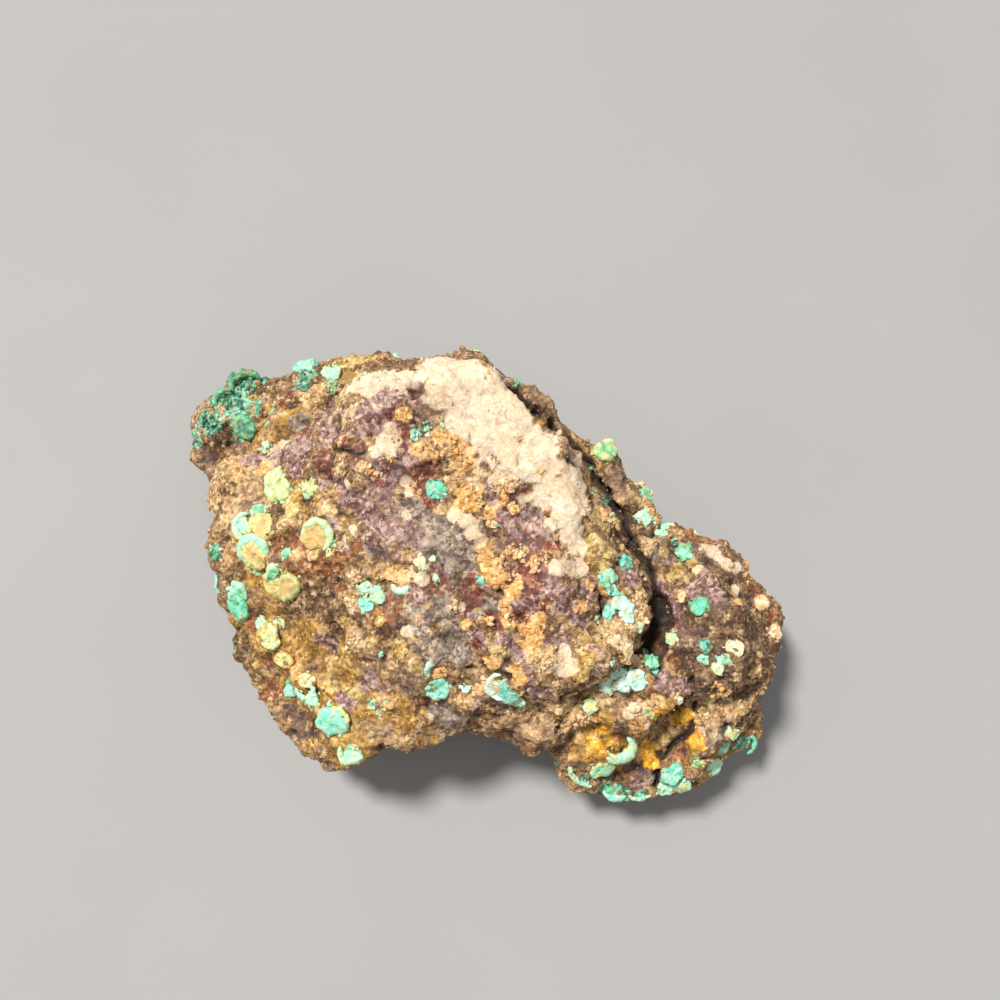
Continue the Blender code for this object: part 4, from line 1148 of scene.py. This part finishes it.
def crusts(finish, share, flecks):
    """The colour and roughness of brown gossan with each zone laid over the last. A zone's ragged edge
    mixes the grains of both, and the share picks among its three tones."""
    ragged = (finish.noise(RAGGED_EDGE, 5.0, 0.75) - 0.5) * 1.5 + (flecks[1] - 0.5) * 0.3
    colour = finish.tones(share, BROWN.dark, BROWN.middle, BROWN.light)
    rough = BROWN.roughness
    for zone in ZONES:
        over = (finish.attribute(zone.name) + ragged).above(0.48, 0.07)
        colour = finish.mix(over, colour, finish.tones(share, zone.dark, zone.middle, zone.light))
        rough = finish.add("ShaderNodeMix", {"data_type": "FLOAT"}, {0: over, 2: rough, 3: zone.roughness})
    return colour, rough


def cream_clouds(finish, colour, cream):
    """The cream crust's peach, cream and pale green clouds, its ochre stains and its mauve smears."""
    tint = finish.tones(finish.noise(CREAM_TINT, 5.0, 0.7, bent=0.9), PEACH, CREAM, PALE_GREEN)
    colour = finish.mix(cream * 0.65, colour, tint)
    stain = finish.noise(CREAM_STAIN, 5.0, 0.75, bent=0.8).above(0.53, 0.07) * cream
    colour = finish.mix(stain * 0.5, colour, PALE_GRAINS[1])
    smear = finish.noise(CREAM_SMEAR, 5.0, 0.75, bent=1.6).above(0.58, 0.05) * cream
    return finish.mix(smear * 0.45, colour, MAUVE_FILM)


def dusted(finish, colour, cream):
    """Dark pepper on the purple crust, then a mauve film and dark veins in patches over every zone."""
    mauve = finish.attribute("purple").above(0.5, 0.1)
    drift = finish.noise(PEPPER_DRIFT, 4.0, 0.7).above(0.44, 0.08)
    pepper = finish.noise(PEPPER, 3.0, 0.7).above(0.56, 0.03) * drift * mauve
    colour = finish.mix(pepper * 0.35, colour, DARK_GRAINS)
    film = finish.noise(FILM, 4.0, 0.65).above(0.56, 0.06) * (1 - cream)
    colour = finish.mix(film * 0.22, colour, MAUVE_FILM)
    edges = finish.cells(VEIN, feature="DISTANCE_TO_EDGE", place=finish.wavy(*VEIN_WANDER))
    veins = (1 - edges.above(0.035, 0.03)) * finish.noise(VEIN_DRIFT).above(0.5, 0.06)
    return finish.mix(veins * (0.42 - cream * 0.14), colour, DARK_GRAINS)


def skin_finish():
    """Crumbly gossan: the crusts, then pale and dark grains, pepper, film and veins over them. Cracks and
    hollows get painted shade, high points a faint painted highlight, and grit and grains show in the bump."""
    finish = Finish("gossan_skin")
    cloud = finish.noise(CLOUD, 4.0, 0.6) - 0.5
    grain = finish.noise(GRAIN_SIZE, 4.0, 0.7) - 0.5
    flecks = [finish.channel(finish.cells(size, "Color"), name) for size, name in FLECKS]
    share = 0.5 + cloud * 1.3 + grain * 0.9 + (flecks[0] - 0.5) * 0.65
    cream = finish.attribute("cream").above(0.5, 0.15)
    colour, rough = crusts(finish, share, flecks)
    colour = cream_clouds(finish, colour, cream)
    pale = flecks[2].above(0.8, 0.03) * (cloud + grain).above(0.0, 0.1) * (1 - cream)
    colour = finish.mix(pale * 0.6, colour, finish.tones(share, *PALE_GRAINS))
    dark = (1 - flecks[1].above(0.14, 0.03)) * (1 - (cloud - grain).above(0.05, 0.1)) * (1 - cream * 0.7)
    colour = finish.mix(dark * 0.55, colour, DARK_GRAINS)
    colour = dusted(finish, colour, cream)
    # Painted shade: the cracks are darkened as if the light doesn't reach into them
    crack_shade = (finish.attribute("crack") + grain * 0.8).above(0.55, 0.3)
    colour = finish.mix(crack_shade * 0.85, colour, CRACK_SHADE)
    height = finish.attribute("height")
    # Painted shade in the hollows that the height marks, less on the cream, and a faint painted highlight
    # on high points
    painted_hollow_shade = (1 - height.above(-0.16, 0.24)) * (0.5 - cream * 0.34)
    painted_light = 1.0 - painted_hollow_shade + height.above(0.25, 0.25) * 0.08
    finish.give("Base Color", finish.shade(colour, painted_light * (0.96 + grain * 0.6)))
    finish.give("Roughness", rough)
    grit = (1 - finish.cells(GRIT_CELLS)) * 0.6 + finish.noise(GRIT_NOISE, 5.0, 0.75)
    finish.give("Normal", finish.bump(grit * (1 - cream * 0.35), 0.75, GRIT_DEPTH))
    return finish.material


def malachite_finish():
    """Malachite crust in the colour that each point keeps, clouded with pale bloom, with ochre dust lying
    on it in patches, and a fine silky grain."""
    finish = Finish("malachite")
    cloud = finish.noise(FINE_CLOUD, 4.0, 0.7) - 0.5
    bloom = finish.noise(BLOOM, 4.0, 0.7).above(0.58, 0.1)
    colour = finish.mix(bloom * 0.3, finish.attribute("tint", "Color"), MALACHITE["pale"])
    dust = finish.noise(DUST, 5.0, 0.8).above(0.58, 0.05)
    colour = finish.mix(dust * 0.65, colour, finish.tones(cloud + 0.5, *PALE_GRAINS))
    finish.give("Base Color", finish.shade(colour, 0.92 + cloud * 0.8))
    finish.give("Roughness", 0.5 + dust * 0.35 + cloud * 0.3)
    silk = finish.noise(SILK_NOISE, 4.0, 0.7) + finish.cells(SILK_CELLS) * 0.5
    finish.give("Normal", finish.bump(silk, 0.7, SILK_DEPTH))
    return finish.material


def crumb_finish():
    """Crumbs in the colour that each point keeps, with a cloudy tone and pale specks."""
    finish = Finish("gossan_crumbs")
    cloud = finish.noise(FINE_CLOUD, 4.0, 0.7) - 0.5
    speck = finish.noise(BLOOM, 4.0, 0.75).above(0.62, 0.05)
    colour = finish.mix(speck * 0.6, finish.attribute("tint", "Color"), PALE_GRAINS[1])
    finish.give("Base Color", finish.shade(colour, 0.96 + cloud * 1.1))
    finish.give("Roughness", 0.85 + cloud * 0.3)
    finish.give("Normal", finish.bump(finish.noise(SILK_NOISE, 4.0, 0.7), 0.6, CRUMB_DEPTH))
    return finish.material


def floor_finish():
    """Pale matt board with a faint mottle."""
    finish = Finish("pale_board")
    finish.give("Base Color", finish.mix(finish.noise(BOARD_MOTTLE, 4.0, 0.5), *BOARD))
    finish.give("Roughness", 0.7)
    return finish.material


# Pieces

def piece(name, mesh, material):
    """An object at the origin from a mesh in millimetres, riding on the stone's body."""
    put_points(mesh, points_of(mesh) * MM)
    mesh.materials.clear()
    mesh.materials.append(material)
    mesh.name = name
    made = bpy.data.objects.new(name, mesh)
    bpy.context.scene.collection.objects.link(made)
    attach(made, "root")
    return made


def add_skin():
    """The stone's skin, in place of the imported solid."""
    skin = make_skin(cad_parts["specimen"])
    skin.mesh.shade_smooth()
    made = piece("stone_skin", skin.mesh, skin_finish())
    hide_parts("specimen")
    return skin


def add_growths(skin):
    """The malachite and the crumbs on the skin."""
    malachite = malachite_finish()
    small = make_beads(skin, "malachite_beads", PATCHES, FAR_PATCHES, FAR_PAIRS, BEAD, BEAD_SEED)
    for mesh in (make_buttons(skin), make_ridges(skin), small):
        mesh.shade_smooth()
        piece(mesh.name, mesh, malachite)
    crumbs = crumb_finish()
    collars = tuple((x, y, COLLAR * radius, rim, "brown") for x, y, radius, _, rim in BUTTONS)
    grains = make_beads(skin, "pale_grains", GRAINS + collars, FAR_GRAINS, GRAIN_PAIRS, GRAIN, GRAIN_SEED)
    piece(grains.name, grains, crumbs)
    for kind in CRUMBS:
        piece(kind[0], make_crumbs(skin, *kind), crumbs)


# Stage, light and camera

def add_floor():
    """The pale surface under the stone."""
    far = FLOOR_REACH
    mesh = bpy.data.meshes.new("floor")
    mesh.from_pydata([(-far, -far, 0), (far, -far, 0), (far, far, 0), (-far, far, 0)], [], [(0, 1, 2, 3)])
    mesh.materials.append(floor_finish())
    floor = bpy.data.objects.new("floor", mesh)
    bpy.context.scene.collection.objects.link(floor)


def add_sun(name, place, strength, spread, colour):
    """A soft light from far off that shines from the place towards the origin, spread in degrees."""
    lamp = bpy.data.lights.new(name, "SUN")
    lamp.energy = strength
    lamp.angle = math.radians(spread)
    lamp.color = colour
    made = bpy.data.objects.new(name, lamp)
    made.location = place
    made.rotation_euler = Vector(place).to_track_quat("Z", "Y").to_euler()
    bpy.context.scene.collection.objects.link(made)


def add_lights():
    """The suns, and a pale room."""
    for sun in SUNS:
        add_sun(*sun)
    world = bpy.data.worlds.new("room")
    world.use_nodes = True
    room = world.node_tree.nodes["Background"]
    room.inputs["Color"].default_value = ROOM_COLOUR
    room.inputs["Strength"].default_value = ROOM_STRENGTH
    bpy.context.scene.world = world


def add_camera():
    """The photograph's camera."""
    eye, _, _, back = camera_frame()
    lens = bpy.data.cameras.new("camera")
    lens.lens = LENS
    lens.sensor_width = SENSOR
    lens.clip_start, lens.clip_end = CLIP
    camera = bpy.data.objects.new("camera", lens)
    camera.location = eye * MM
    camera.rotation_euler = Vector(back).to_track_quat("Z", "Y").to_euler()
    bpy.context.scene.collection.objects.link(camera)
    bpy.context.scene.camera = camera


bpy.context.scene.view_settings.view_transform = "Standard"
add_camera()
add_lights()
add_floor()
add_growths(add_skin())
